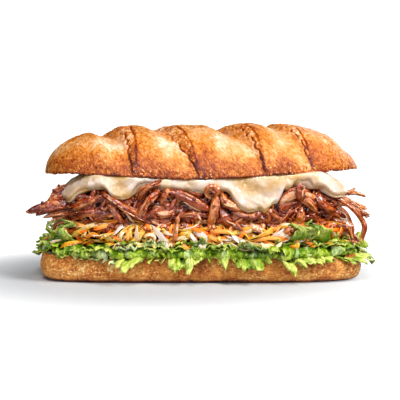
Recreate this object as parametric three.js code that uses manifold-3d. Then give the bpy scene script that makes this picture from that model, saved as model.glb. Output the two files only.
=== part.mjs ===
// A pulled pork sandwich in a whole scored sub roll, in millimetres, +Z up. From the bottom it is the heel
// of the roll, a bed of lettuce, coleslaw, a heap of pulled pork, a sheet of melted cheese that hangs over
// the pork, and the crown with its diagonal scores. The origin is under the middle, on the surface that
// the sandwich stands on. The roll lies along X, and its front faces -Y.

import * as THREE from "three";
import { mergeVertices } from "three/addons/utils/BufferGeometryUtils.js";
import Module from "manifold-3d";

const wasm = await Module();
wasm.setup();
const { Manifold, Mesh } = wasm;
const { clamp, degToRad, lerp, smoothstep } = THREE.MathUtils;

// ---- Driving dimensions ----

// Free space that every piece keeps to the next layer.
const GAP = 0.35;

// The heel rounds in by footInset over its lowest footHeight. Its cut face is a little smaller than its
// side, and both flat faces have a ring of points `flat` in from the edge.
const HEEL = {
  halfLength: 87,
  halfWidth: 38,
  height: 14.5,
  footInset: 8.5,
  footHeight: 9,
  cutInset: 0.9,
  flat: 22,
  bulge: 0.4,
};

// The crown is cut level at its rim, which sags a little between its tips and tilts up to the right. Its
// height falls off towards the tips as a superellipse with one power for each end. Its sections are
// slightly squarer than ellipses, by the two section powers.
const CROWN = {
  halfLength: 85.3,
  halfWidth: 40,
  height: 26,
  rim: 55.3,
  rimSag: 1.25,
  tilt: 0.01,
  cutArch: 0.25,
  planPower: 3.2,
  leftPower: 4.4,
  rightPower: 3.8,
  sectionAcross: 0.88,
  sectionUp: 0.92,
};

// Each score crosses the crest at `at`, is `open` wide there and `deep`, and closes towards both rims. A
// score leans: it meets the front rim SCORE_LEAN further right than the crest, and the back rim as far left.
const SCORE_LEAN = 25;
const SCORES = [
  { at: -54, open: 13, deep: 4.4 },
  { at: -25, open: 9, deep: 3.8 },
  { at: 9, open: 12, deep: 4.4 },
  { at: 36, open: 9.5, deep: 3.2 },
];

// The heel and the soft layers are superellipses in plan. The soft layers are rounded blocks, superellipses
// in side view as well.
const PLAN_POWER = 4;
const SIDE_POWER = 5;
const LETTUCE = { centre: 0, halfLength: 83, halfWidth: 38, bottom: 15.1, top: 20.7 };
const SLAW = { centre: 0, halfLength: 77, halfWidth: 36, bottom: 21.6, top: 30.7 };
const PORK = { centre: 1, halfLength: 73.5, halfWidth: 36, bottom: 31.6, top: 50 };
const CHEESE_GAP = 0.8;
const CHEESE_THICK = { side: 2.7, top: 4 };
const CHEESE_SIDE_POWER = 9;

// How far the cheese hangs below its shoulder: the level of its plain edge, and its drips.
const CHEESE_EDGE = 49.6;
const FRONT_DRIPS = [
  { at: -71, wide: 7, hang: 5.5 },
  { at: -40, wide: 7, hang: 4.8 },
  { at: -27, wide: 6, hang: -2.6 },
  { at: 0, wide: 7, hang: 1.2 },
  { at: 28, wide: 12, hang: 10.6 },
  { at: 51, wide: 4.5, hang: -2.8 },
  { at: 73, wide: 9, hang: 4.2 },
];
const BACK_DRIPS = [
  { at: -58, wide: 10, hang: 7.5 },
  { at: -33, wide: 6, hang: -1.8 },
  { at: -14, wide: 8, hang: 4.2 },
  { at: 12, wide: 9, hang: 9.2 },
  { at: 35, wide: 6, hang: -2.2 },
  { at: 55, wide: 9, hang: 5.4 },
];
const END_HANG = 3;

// ---- Small maths ----

// Numbers between low and high, the same ones for the same seed.
function randomFrom(seed) {
  let state = seed;
  return (low = 0, high = 1) => {
    state = (state * 1664525 + 1013904223) % 4294967296;
    return lerp(low, high, state / 4294967296);
  };
}

const signedPower = (value, power) => Math.sign(value) * Math.abs(value) ** power;

// Slow ups and downs of a soft surface, between about -1.5 and 1.5.
function waves(x, y, phase) {
  const broad = Math.sin(0.11 * x + phase) * Math.cos(0.13 * y + 1.7 * phase);
  return broad + 0.5 * Math.sin(0.27 * x - 0.21 * y + 2.3 * phase);
}

// Points of the superellipse |x|^power + |y|^power = 1, anticlockwise from +X, spaced evenly once they are
// stretched to the half-axes. They are picked from a dense outline.
function evenOutline(halfLength, halfWidth, power, count) {
  const dense = 2880;
  const points = [];
  const along = [0];
  for (let i = 0; i <= dense; i += 1) {
    const angle = (2 * Math.PI * i) / dense;
    const [c, s] = [Math.cos(angle), Math.sin(angle)];
    const radius = (Math.abs(c) ** power + Math.abs(s) ** power) ** (-1 / power);
    points.push([c * radius, s * radius]);
    if (i) {
      const [dx, dy] = [points[i][0] - points[i - 1][0], points[i][1] - points[i - 1][1]];
      along.push(along[i - 1] + Math.hypot(dx * halfLength, dy * halfWidth));
    }
  }
  const even = [];
  for (let k = 0, i = 0; k < count; k += 1) {
    while (along[i] < (along[dense] * k) / count) i += 1;
    even.push(points[i]);
  }
  return even;
}

// ---- Closed surfaces and solids ----

// A closed surface through a stack of rings of points. The first and last rings are single points.
function shell(rings) {
  const count = Math.max(...rings.map((ring) => ring.length));
  const corner = (ring, i) => ring[ring.length === 1 ? 0 : i % count];
  const position = [];
  const addTriangle = (a, b, c) => {
    if (a !== b && b !== c && c !== a) position.push(...a, ...b, ...c);
  };
  for (let level = 1; level < rings.length; level += 1) {
    for (let i = 0; i < count; i += 1) {
      const [a, b] = [corner(rings[level - 1], i), corner(rings[level - 1], i + 1)];
      const [d, c] = [corner(rings[level], i), corner(rings[level], i + 1)];
      addTriangle(a, b, c);
      addTriangle(a, c, d);
    }
  }
  return new THREE.BufferGeometry().setAttribute("position", new THREE.Float32BufferAttribute(position, 3));
}

function solidOf(geometry) {
  const welded = mergeVertices(geometry, 1e-4);
  const vertProperties = welded.attributes.position.array;
  const triVerts = new Uint32Array(welded.index.array);
  return new Manifold(new Mesh({ numProp: 3, vertProperties, triVerts }));
}

function geometryOf(solid) {
  const { vertProperties, triVerts } = solid.getMesh();
  const geometry = new THREE.BufferGeometry();
  geometry.setAttribute("position", new THREE.BufferAttribute(vertProperties, 3));
  geometry.setIndex(new THREE.BufferAttribute(triVerts, 1));
  geometry.computeVertexNormals();
  return geometry;
}

// Joins pieces onto a core. Each piece is a function of how much of it is left off, at its far end or,
// below zero, at its near end. A piece is shortened until its guard, a slightly fatter copy, is clear of
// the neighbours, and is left out where that doesn't help. Loose scraps and sealed hollows go too, because
// only the largest outer skin is kept.
const SLIVER = 0.15;
const SHORTER = [0, 0.2, -0.2, 0.4, -0.4, 0.6, -0.6];
function fuse(core, pieces, neighbours) {
  const clear = ({ guard }) => neighbours.every((other) => guard.intersect(other).isEmpty());
  const fitting = [];
  for (const piece of pieces) {
    const least = SHORTER.find((less) => clear(piece(less)));
    if (least !== undefined) fitting.push(piece(least).solid);
  }
  const skins = Manifold.union([core, ...fitting]).asOriginal().simplify(SLIVER).decompose();
  return skins.reduce((largest, skin) => (skin.volume() > largest.volume() ? skin : largest));
}

// The part of a piece that is left, from 0 at its near end to 1 at its far end.
const leftOf = (less) => [Math.max(-less, 0), 1 - Math.max(less, 0)];

// ---- The roll ----

// The heel stands on a flat foot, curves up into a nearly upright side, and is cut flat on top.
function heelGeometry() {
  const outline = evenOutline(HEEL.halfLength, HEEL.halfWidth, PLAN_POWER, 48);
  const ring = (inset, z, bulge = 0) =>
    outline.map(([cx, cy]) => {
      const [x, y] = [(HEEL.halfLength - inset) * cx, (HEEL.halfWidth - inset) * cy];
      const swell = 1 + (bulge * waves(x, y, 1.3)) / HEEL.halfWidth;
      return [x * swell, y * swell, z];
    });
  const foot = [15, 40, 65, 90].map(degToRad).map((angle) => {
    const inset = HEEL.footInset * (1 - Math.sin(angle));
    return ring(inset, HEEL.footHeight * (1 - Math.cos(angle)), HEEL.bulge);
  });
  return shell([
    [[0, 0, 0]],
    ring(HEEL.flat, 0),
    ring(HEEL.footInset, 0),
    ...foot,
    ring(HEEL.cutInset, HEEL.height, HEEL.bulge),
    ring(HEEL.flat, HEEL.height),
    [[0, 0, HEEL.height]],
  ]);
}

// The crust beside a score stands 0 to -deep below the dome: it falls slowly on the left towards the
// score, drops at the torn lip, and climbs again across the open band on the right. Between two scores
// the crust swells a little. Scores and swelling fade out towards the rim and the low tips.
const SCORE_FALL = 9;
const LIP_SHARE = 0.7;
const SWELL = 0.9;
const FULL_RELIEF_HEIGHT = 12;
function scoreRelief(crest, upright) {
  const fade = upright ** 0.6;
  let relief = 0;
  SCORES.forEach(({ at, open, deep }, k) => {
    const from = crest - at;
    const width = Math.max(open * fade, 0.5);
    if (from < 0) relief -= deep * LIP_SHARE * smoothstep(from, -SCORE_FALL, 0);
    else relief -= deep * (1 - smoothstep(from, 0, width));
    const next = k + 1 < SCORES.length ? SCORES[k + 1].at : CROWN.halfLength;
    const share = (crest - at) / (next - at);
    if (share > 0 && share < 1) relief += SWELL * Math.sin(Math.PI * share);
  });
  return relief * fade;
}

// Half the crown's width, and its height, where it is x from the middle.
function crownSize(x) {
  const share = Math.min(Math.abs(x) / CROWN.halfLength, 1);
  const endPower = x < 0 ? CROWN.leftPower : CROWN.rightPower;
  return {
    halfWidth: CROWN.halfWidth * Math.sqrt(1 - share ** CROWN.planPower),
    height: CROWN.height * Math.sqrt(1 - share ** endPower),
  };
}

const crownRim = (x) => CROWN.rim + CROWN.tilt * x + CROWN.rimSag * (x / CROWN.halfLength) ** 2;

// The crown is a row of sections from tip to tip. Each section leans with the scores, so that their lips
// follow the mesh, and runs over the top from the back rim to the front rim and home under the cut face.
function crownGeometry() {
  const [stations, steps] = [54, 16];
  const tip = (x) => [[x, 0, crownRim(x)]];
  const sections = [];
  for (let i = 1; i < stations; i += 1) {
    const crest = CROWN.halfLength * Math.sin(Math.PI * (i / stations - 0.5));
    const lean = SCORE_LEAN * (1 - Math.abs(crest / CROWN.halfLength) ** 3);
    const section = [];
    for (let k = 0; k <= steps; k += 1) {
      const angle = (Math.PI * k) / steps;
      const [across, upright] = [Math.cos(angle), Math.sin(angle)];
      const x = crest + lean * ((2 * angle) / Math.PI - 1);
      const { halfWidth, height } = crownSize(x);
      const bump = scoreRelief(crest, upright) * Math.min(1, height / FULL_RELIEF_HEIGHT);
      const y = halfWidth * signedPower(across, CROWN.sectionAcross) + bump * across;
      section.push([x, y, crownRim(x) + height * upright ** CROWN.sectionUp + bump * upright]);
    }
    const [back, front] = [section[0], section[steps]];
    for (const home of [0.25, 0.5, 0.75]) {
      const x = lerp(front[0], back[0], home);
      section.push([x, lerp(front[1], back[1], home), crownRim(x) + CROWN.cutArch]);
    }
    sections.push(section);
  }
  return shell([tip(-CROWN.halfLength), ...sections, tip(CROWN.halfLength)]);
}

// ---- The layers between ----

// The pork, and the cheese on it, slope down towards both ends.
const shoulder = (x) => 4.5 * smoothstep(-x, 56, 79) + 2.2 * smoothstep(x, 62, 80);

// A point of a layer's rounded block. `turn` runs from -90 degrees, the middle of its underside, to 90,
// the middle of its top, and `grow` swells the block.
function blockPoint(layer, [cx, cy], turn, grow = { side: 0, top: 0 }, power = SIDE_POWER) {
  const [middle, half] = [(layer.top + layer.bottom) / 2, (layer.top - layer.bottom) / 2];
  const reach = Math.abs(Math.cos(turn)) ** (2 / power);
  const rise = signedPower(Math.sin(turn), 2 / power);
  const x = layer.centre + (layer.halfLength + grow.side) * cx * reach;
  const y = (layer.halfWidth + grow.side) * cy * reach;
  const sloping = layer === PORK && rise > 0 ? shoulder(x) * rise : 0;
  return [x, y, middle + (half + grow.top) * rise - sloping + 0.25 * waves(x, y, layer.bottom) * rise];
}

const CORE_TURNS = [-90, -62, -14, 8, 32, 62, 90].map(degToRad);
const THIN_TURNS = [-90, -62, -14, 14, 62, 90].map(degToRad);
const AROUND = 80;
const layerOutline = evenOutline(PORK.halfLength, PORK.halfWidth, PLAN_POWER, AROUND);

function coreSolid(layer) {
  const outline = layerOutline.filter((_, i) => i % 2 === 0);
  const turns = layer === PORK ? CORE_TURNS : THIN_TURNS;
  const rings = turns.map((turn) => outline.map((around) => blockPoint(layer, around, turn)));
  return solidOf(shell([[rings[0][0]], ...rings.slice(1, -1), [rings.at(-1)[0]]]));
}

// The level of the cheese's edge over a point of the outline.
function cheeseEdge(x, cy) {
  const hang = (drips) =>
    drips.reduce((sum, { at, wide, hang: depth }) => sum + depth * Math.exp(-(((x - at) / wide) ** 4)), 0);
  const toFront = smoothstep(-cy, 0.35, 0.85);
  const toBack = smoothstep(cy, 0.35, 0.85);
  const ends = END_HANG * (1 - toFront - toBack);
  return CHEESE_EDGE - hang(FRONT_DRIPS) * toFront - hang(BACK_DRIPS) * toBack - ends - 0.5 * shoulder(x);
}

// The cheese's skin runs from the middle of the pork's top, down inside its edge, round the lip and back
// up outside it. In each column the rings that would pass below the edge are gathered just above it.
const GATHER = 0.02;
const LIP_DROP = 0.9;
function cheeseGeometry() {
  const inside = { side: CHEESE_GAP, top: CHEESE_GAP };
  const outside = { side: CHEESE_GAP + CHEESE_THICK.side, top: CHEESE_GAP + CHEESE_THICK.top };
  const middle = (PORK.top + PORK.bottom) / 2;
  const half = (PORK.top - PORK.bottom) / 2;
  const skin = (turns, grow, power) =>
    turns.map((turn, k) =>
      layerOutline.map((around) => {
        const x = PORK.centre + PORK.halfLength * around[0];
        const rise = clamp((cheeseEdge(x, around[1]) - middle) / (half + grow.top), -0.6, 0.98);
        const lowest = Math.asin(signedPower(rise, power / 2));
        return blockPoint(PORK, around, Math.max(turn, lowest + GATHER * k), grow, power);
      }),
    );
  const under = skin([CORE_TURNS[0], ...CORE_TURNS.slice(-4)], inside, SIDE_POWER).reverse();
  const over = skin([-90, 4, 22, 48, 72, 90].map(degToRad), outside, CHEESE_SIDE_POWER);
  const lip = under.at(-1).map((inner, i) => {
    const outer = over[0][i];
    const between = [0, 1].map((axis) => lerp(inner[axis], outer[axis], 0.55));
    return [...between, Math.min(inner[2], outer[2]) - LIP_DROP];
  });
  return shell([[under[0][0]], ...under.slice(1), lip, ...over.slice(0, -1), [over.at(-1)[0]]]);
}

// ---- Pieces on the sides of the heap ----

// The sides of the stacked layers taken together: how far they reach along X and along Y at a height. Each
// layer counts a little above and below itself too, which bridges the grooves between layers.
const STACK = [{ ...HEEL, bottom: -HEEL.height, top: HEEL.height }, LETTUCE, SLAW, PORK];
const BRIDGE = 1.5;
function stackReach(z) {
  const reach = { along: 0, across: 0 };
  for (const { halfLength, halfWidth, bottom, top } of STACK) {
    const share = Math.min(Math.abs(z - (top + bottom) / 2) / ((top - bottom) / 2 + BRIDGE), 1);
    const part = (1 - share ** SIDE_POWER) ** (1 / SIDE_POWER);
    reach.along = Math.max(reach.along, halfLength * part);
    reach.across = Math.max(reach.across, halfWidth * part);
  }
  return reach;
}

// A point in front of the stack, `lift` off its side. Past the stack's end it keeps the end's depth.
const END_SHARE = 0.96;
function onFront(x, z, lift) {
  const { along, across } = stackReach(z);
  const share = Math.min(Math.abs(x) / along, END_SHARE);
  return new THREE.Vector3(x, -across * (1 - share ** PLAN_POWER) ** (1 / PLAN_POWER) - lift, z);
}

// A point anywhere round the stack: `place` is the share of the way round, anticlockwise from +X. The way
// round is about 400 mm long.
const WAY_ROUND = 400;
const fineOutline = evenOutline(PORK.halfLength, PORK.halfWidth, PLAN_POWER, WAY_ROUND);
function roundStack(place, z, lift) {
  const steps = (place - Math.floor(place)) * WAY_ROUND;
  const [before, after] = [Math.floor(steps), Math.floor(steps) + 1].map((i) => fineOutline[i % WAY_ROUND]);
  const [cx, cy] = [0, 1].map((axis) => lerp(before[axis], after[axis], steps % 1));
  const { along, across } = stackReach(z);
  const out = new THREE.Vector3(
    signedPower(cx, PLAN_POWER - 1) / along,
    signedPower(cy, PLAN_POWER - 1) / across,
    0,
  ).normalize();
  return new THREE.Vector3(along * cx, across * cy, z).addScaledVector(out, lift);
}

// The place round the stack that is in front of x.
function frontPlace(x) {
  const off = ([cx, cy]) => Math.abs(cx * HEEL.halfLength - x) + (cy > 0 ? HEEL.halfLength : 0);
  const nearest = fineOutline.reduce((best, point, i) => (off(point) < off(fineOutline[best]) ? i : best), 0);
  return nearest / WAY_ROUND;
}

// Places along a strand, from 0 to 1: its two ends, and blunt rings evenly between them.
const BLUNT = 0.09;
function places(steps) {
  return Array.from({ length: steps + 1 }, (_, k) => {
    if (k === 0 || k === steps) return k / steps;
    return lerp(BLUNT, 1 - BLUNT, (k - 1) / (steps - 2));
  });
}

// A rope of food along a path, wide along the heap's side and flat against it.
function rope(path, wide, thick, sides) {
  const rings = path.slice(1, -1).map((point, k) => {
    const along = path[k + 2].clone().sub(path[k]).normalize();
    const out = new THREE.Vector3(point.x * 0.2, point.y, 0).normalize();
    out.addScaledVector(along, -out.dot(along)).normalize();
    const aside = new THREE.Vector3().crossVectors(along, out);
    const taper = 0.65 + 0.35 * Math.sin((Math.PI * (k + 0.5)) / (path.length - 2));
    return Array.from({ length: sides }, (_, i) => {
      const angle = (2 * Math.PI * (i + 0.5)) / sides;
      const reach = out.clone().multiplyScalar((thick / 2) * taper * Math.cos(angle));
      reach.addScaledVector(aside, (wide / 2) * taper * Math.sin(angle));
      return point.clone().add(reach).toArray();
    });
  });
  return solidOf(shell([[path[0].toArray()], ...rings, [path.at(-1).toArray()]]));
}

// A rope with the guard that keeps it clear of its neighbours.
function ropePiece(path, wide, thick, sides) {
  const solid = rope(path, wide, thick, sides);
  const longer = path.map((point) => point.clone());
  longer[0].addScaledVector(path[0].clone().sub(path[1]).normalize(), GAP);
  longer.at(-1).addScaledVector(path.at(-1).clone().sub(path.at(-2)).normalize(), GAP);
  return { solid, guard: rope(longer, wide + 2 * GAP, thick + 2 * GAP, sides) };
}

// How far off the stack's side a strand lies. Its ends are tucked into its own layer, but where it passes
// another layer it stays in front of it.
const TUCK = 1.4;
function strandLift(layer, z, thick, stand, part) {
  const arch = (4 * part * (1 - part)) ** 0.8;
  const inFront = thick / 2 + GAP + 0.2;
  const within = Math.min(z - layer.bottom, layer.top - z);
  const free = inFront - 10 * smoothstep(within, 0.5, 6);
  return Math.max(lerp(-TUCK, stand, arch), free);
}

// A strand across the front from one place to another. `bow` bends it sideways.
function frontStrand(layer, { from, to, bow = 0, wide, stand = 1 }, flat, sides, steps) {
  const [dx, dz] = [to[0] - from[0], to[1] - from[1]];
  const length = Math.hypot(dx, dz);
  return (less) => {
    const path = places(steps).map((part) => {
      const t = lerp(...leftOf(less), part);
      const bend = 4 * t * (1 - t) * bow;
      const x = lerp(from[0], to[0], t) - (bend * dz) / length;
      const z = lerp(from[1], to[1], t) + (bend * dx) / length;
      return onFront(x, z, strandLift(layer, z, wide * flat, stand + wide * 0.3, part));
    });
    return ropePiece(path, wide, wide * flat, sides);
  };
}

// Strands laid by rule all round the stack. Their middles are spread evenly, and each runs a length at a
// slope and stands off the heap in its middle.
const EVEN_STEPS = [0.618034, 0.754878];
function strandsByRule(layer, draw, count, { low, high, length, slope, wide, flat, stand }, sides, steps) {
  return Array.from({ length: count }, (_, i) => {
    const [place, level] = EVEN_STEPS.map((step) => (step * (i + 1)) % 1);
    const middle = lerp(low, high, level);
    const run = draw(...length);
    const angle = draw(-slope, slope);
    const thick = draw(...wide);
    const [bow, off] = [draw(-0.12, 0.12) * run, draw(0.4, 1) * stand];
    return (less) => {
      const path = places(steps).map((part) => {
        const t = lerp(...leftOf(less), part);
        const along = (t - 0.5) * run * Math.cos(angle);
        const z = middle + (t - 0.5) * run * Math.sin(angle) + bow * 4 * t * (1 - t);
        const level = clamp(z, low - 3, high + 2);
        const lift = strandLift(layer, level, thick * flat, off + thick * 0.3, part);
        return roundStack(place + along / WAY_ROUND, level, lift);
      });
      return ropePiece(path, thick, thick * flat, sides);
    };
  });
}

// ---- Pulled pork ----

const PORK_FRONT = [
  { from: [-91, 35.5], to: [-62, 39.5], bow: 1.5, wide: 7, stand: 1.5 },
  { from: [-84, 35], to: [-51, 47.5], bow: -1, wide: 4.6 },
  { from: [-52, 45.5], to: [-26, 32.5], bow: 1, wide: 3.8 },
  { from: [-50, 42], to: [-39, 29], bow: 0.5, wide: 3.4 },
  { from: [-80.5, 32.6], to: [-57, 42], bow: 1.1, wide: 4.5 },
  { from: [-75, 27.5], to: [-48, 37], bow: 3, wide: 3.8 },
  { from: [-34, 40], to: [-27, 49.5], bow: 1, wide: 4, stand: 1.5 },
  { from: [-32.5, 35], to: [-20, 50.5], bow: 1.5, wide: 4.2, stand: 1.5 },
  { from: [-20.5, 40], to: [-12, 47], bow: 3, wide: 3.6 },
  { from: [-15, 46], to: [6, 38.5], bow: -0.6, wide: 6, stand: 1.6 },
  { from: [-29, 38], to: [-9, 39], bow: -1.5, wide: 3.6 },
  { from: [8.3, 46.6], to: [5.8, 28.2], bow: -0.9, wide: 5 },
  { from: [10, 41], to: [23, 28], bow: -2, wide: 4 },
  { from: [10.5, 47], to: [15, 38], bow: -1.5, wide: 4.4 },
  { from: [-12, 37], to: [-14.6, 19.5], bow: -0.6, wide: 3.2, stand: 1.8 },
  { from: [50.3, 42], to: [51.9, 50.4], wide: 4.8, stand: 1.7 },
  { from: [40, 41], to: [60, 45.5], bow: 3.8, wide: 5.4 },
  { from: [49.5, 47.5], to: [61, 37], bow: 0.5, wide: 4.2 },
  { from: [61, 48.5], to: [77, 34], bow: -2.5, wide: 4.8 },
  { from: [67, 41], to: [89, 33.5], bow: 1.6, wide: 3.8, stand: 1.5 },
  { from: [66, 37.5], to: [84, 23.5], bow: 4, wide: 3.4, stand: 1.5 },
  { from: [64, 35], to: [80, 23], bow: 1, wide: 3.8 },
  { from: [53.5, 40.5], to: [44, 25], bow: 1.2, wide: 5.4 },
  { from: [16, 38.5], to: [37, 41.5], bow: -4, wide: 3.8 },
];

function porkPieces() {
  const draw = randomFrom(22);
  const named = PORK_FRONT.map((strand) => frontStrand(PORK, strand, 0.75, 5, 5));
  const rule = { low: 30.5, high: 47, length: [18, 34], slope: 1, wide: [3.6, 6], flat: 0.75, stand: 2 };
  return [...named, ...strandsByRule(PORK, draw, 38, rule, 4, 5)];
}

// ---- Coleslaw ----

const SLAW_FRONT = [
  { from: [-72, 22], to: [-45, 33.5], bow: 1.6, wide: 2.6 },
  { from: [-57, 27.5], to: [-42, 33], bow: 0.5, wide: 2.2 },
  { from: [-42, 20.5], to: [-40, 30], bow: 1.6, wide: 2.4 },
  { from: [-34, 21], to: [-33, 31.5], wide: 2.6 },
  { from: [-26, 31], to: [-16.5, 15.5], bow: 1.2, wide: 3.2 },
  { from: [-9.5, 28.5], to: [3, 32], bow: -2, wide: 2.6 },
  { from: [-4, 28.5], to: [2, 17.5], bow: 2, wide: 3.2 },
  { from: [4, 27.5], to: [17, 27.5], bow: 0.6, wide: 2.4 },
  { from: [15, 22], to: [34, 19.5], bow: -1, wide: 2.4 },
  { from: [25, 22.5], to: [40, 30], bow: -1, wide: 3 },
  { from: [31, 23], to: [39, 16.5], wide: 2.8 },
  { from: [58, 29.5], to: [74, 27], bow: 0.8, wide: 2.4 },
];

function slawPieces() {
  const draw = randomFrom(23);
  const named = SLAW_FRONT.map((strip) => frontStrand(SLAW, strip, 0.5, 4, 4));
  const rule = { low: 21, high: 31, length: [13, 24], slope: 1.1, wide: [2.6, 4], flat: 0.5, stand: 2.2 };
  return [...named, ...strandsByRule(SLAW, draw, 46, rule, 4, 4)];
}

// ---- Lettuce ----

// A leaf is a thin sheet that is rooted in the bed, fans out, and droops towards its ruffled edge. Its
// solid is a row of flat rings, each running out over the top of the sheet and back underneath.
const LEAF_THICK = 0.9;
const LEAF_ROOT = 5;
function leafSolid({ place, level, width, reach, droop, ruffle, folds, phase }, swell = 0) {
  const [columns, rows] = [8, 3];
  const sheet = [];
  for (let i = 0; i <= columns; i += 1) {
    const u = i / columns;
    const fold = 2 * Math.PI * folds * u + phase;
    const ragged = 1 + 0.18 * Math.sin(1.6 * fold + 1);
    const row = [];
    for (let k = 0; k <= rows; k += 1) {
      const v = k / rows;
      const spread = (u - 0.5) * width * (0.75 + 0.35 * v);
      const out = lerp(-LEAF_ROOT, reach * ragged, v ** 0.8) + 0.35 * ruffle * v * Math.cos(fold);
      const z = level - droop * ragged * v ** 2.2 + ruffle * v * v * Math.sin(fold);
      row.push(roundStack(place + spread / WAY_ROUND, z, out));
    }
    sheet.push(row);
  }
  const normalAt = (i, k) => {
    const across = sheet[Math.min(i + 1, columns)][k].clone().sub(sheet[Math.max(i - 1, 0)][k]);
    const outward = sheet[i][Math.min(k + 1, rows)].clone().sub(sheet[i][Math.max(k - 1, 0)]);
    return outward.cross(across).normalize();
  };
  const offset = (i, k, side) =>
    sheet[i][k].clone().addScaledVector(normalAt(i, k), side * (LEAF_THICK / 2 + swell)).toArray();
  const rings = sheet.map((row, i) => {
    const rim = row.map((_, k) => k);
    return [...rim.map((k) => offset(i, k, 1)), ...rim.reverse().map((k) => offset(i, k, -1))];
  });
  const edge = (i) => [sheet[i][1].clone().lerp(sheet[i][2], 0.5).toArray()];
  return solidOf(shell([edge(0), ...rings, edge(columns)]));
}

const FRONT_LEAVES = [
  { at: -86, width: 24, reach: 7, droop: 5 },
  { at: -78, width: 24, reach: 5, droop: -8 },
  { at: -62, width: 28, reach: 5.5, droop: 6.5 },
  { at: -39, width: 28, reach: 6, droop: 8.5 },
  { at: -21, width: 22, reach: 6.5, droop: 11 },
  { at: -2, width: 27, reach: 5.5, droop: 8 },
  { at: 18, width: 26, reach: 6, droop: 7 },
  { at: 38, width: 28, reach: 6.5, droop: 9.5 },
  { at: 59, width: 26, reach: 5.5, droop: 6.5 },
  { at: 78, width: 24, reach: 5, droop: -9 },
  { at: 82, width: 28, reach: 7.5, droop: 9 },
];
const LEAVES_BEHIND = 6;

function lettucePieces() {
  const draw = randomFrom(43);
  const front = FRONT_LEAVES.map(({ at, ...leaf }) => ({ ...leaf, place: frontPlace(at) }));
  const behind = Array.from({ length: LEAVES_BEHIND }, (_, i) => ({
    place: (0.47 * (i + 0.5)) / LEAVES_BEHIND,
    width: draw(30, 36),
    reach: draw(5, 7),
    droop: i % 3 === 1 ? draw(-7, -4) : draw(6, 10),
  }));
  return [...front, ...behind].map((place) => {
    const leaf = {
      ...place,
      level: draw(18.3, 19.2),
      ruffle: draw(1.2, 2),
      folds: draw(1.2, 1.8),
      phase: draw(0, 2 * Math.PI),
    };
    return (less) => {
      const left = 1 - Math.abs(less);
      const [width, droop, ruffle] = [leaf.width * left, leaf.droop * left, leaf.ruffle * left];
      const smaller = { ...leaf, width, droop, ruffle };
      return { solid: leafSolid(smaller), guard: leafSolid(smaller, GAP) };
    };
  });
}

// ---- Assembly ----

const FINISH = {
  bun_crown: { color: 0xd9934e, roughness: 0.55 },
  melted_cheese: { color: 0xecd9ae, roughness: 0.25 },
  pulled_pork: { color: 0x8a4a2e, roughness: 0.35 },
  coleslaw: { color: 0xe6cf94, roughness: 0.4 },
  lettuce: { color: 0x86a832, roughness: 0.45 },
  bun_heel: { color: 0xc48a4c, roughness: 0.7 },
};

const heel = solidOf(heelGeometry());
const crown = solidOf(crownGeometry());
const cheese = solidOf(cheeseGeometry());
const cores = { pork: coreSolid(PORK), slaw: coreSolid(SLAW), lettuce: coreSolid(LETTUCE) };
const pork = fuse(cores.pork, porkPieces(), [heel, crown, cheese, cores.slaw, cores.lettuce]);
const lettuce = fuse(cores.lettuce, lettucePieces(), [heel, crown, cheese, pork, cores.slaw]);
const slaw = fuse(cores.slaw, slawPieces(), [heel, crown, cheese, pork, lettuce]);

const solids = {
  bun_heel: heel,
  lettuce,
  coleslaw: slaw,
  pulled_pork: pork,
  melted_cheese: cheese,
  bun_crown: crown,
};
const sandwich = new THREE.Group();
for (const [name, solid] of Object.entries(solids)) {
  const material = new THREE.MeshStandardMaterial({ ...FINISH[name], metalness: 0 });
  const mesh = new THREE.Mesh(geometryOf(solid), material);
  mesh.name = name;
  sandwich.add(mesh);
}

// The origin goes under the middle of everything, loose ends included.
const middle = new THREE.Box3().setFromObject(sandwich).getCenter(new THREE.Vector3());
sandwich.position.set(-middle.x, -middle.y, 0);

export default sandwich;
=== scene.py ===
# %% [markdown]
# # A pulled pork sandwich in a scored sub roll
# The solids of the sandwich are packed as a frame: the heel of the roll, lettuce, coleslaw, pulled pork,
# melted cheese and the crown. They have the right sizes and places, but flat facets and plain colours.
# This lesson puts the real surfaces in their place. Almost every surface here is an array of points worked
# out with numpy: a formula gives a whole grid of points at once, and one helper turns the grid into a mesh.

# %% Load the frame
import itertools

import bpy
import numpy as np
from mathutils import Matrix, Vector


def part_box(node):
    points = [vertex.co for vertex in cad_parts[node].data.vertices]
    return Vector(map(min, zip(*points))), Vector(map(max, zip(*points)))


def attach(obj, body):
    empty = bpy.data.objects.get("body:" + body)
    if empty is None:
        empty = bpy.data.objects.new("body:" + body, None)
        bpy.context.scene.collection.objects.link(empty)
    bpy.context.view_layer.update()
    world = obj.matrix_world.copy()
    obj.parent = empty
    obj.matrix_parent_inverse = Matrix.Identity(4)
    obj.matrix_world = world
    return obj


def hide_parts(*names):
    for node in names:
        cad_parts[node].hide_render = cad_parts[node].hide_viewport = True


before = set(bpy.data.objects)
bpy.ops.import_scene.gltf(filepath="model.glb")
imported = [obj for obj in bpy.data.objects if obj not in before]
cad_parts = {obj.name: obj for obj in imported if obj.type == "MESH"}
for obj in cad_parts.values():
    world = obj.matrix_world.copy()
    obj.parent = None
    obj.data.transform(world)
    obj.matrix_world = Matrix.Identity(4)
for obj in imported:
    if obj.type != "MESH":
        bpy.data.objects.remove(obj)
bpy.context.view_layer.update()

# %% [markdown]
# ## One frame for all formulas
# Blender works in metres, but a cook's sizes are easier to read in millimetres, so every formula below uses
# millimetres and only the mesh helper converts. The formulas also put the roll's own middle at x = y = 0.
# The crown is symmetric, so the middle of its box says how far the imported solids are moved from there.

# %% The roll's middle
MM = 0.001
MIDDLE = np.mean(np.array(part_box("bun_crown")), axis=0) / MM
MIDDLE[2] = 0
print("middle of the roll, mm:", MIDDLE.round(2))

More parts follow.
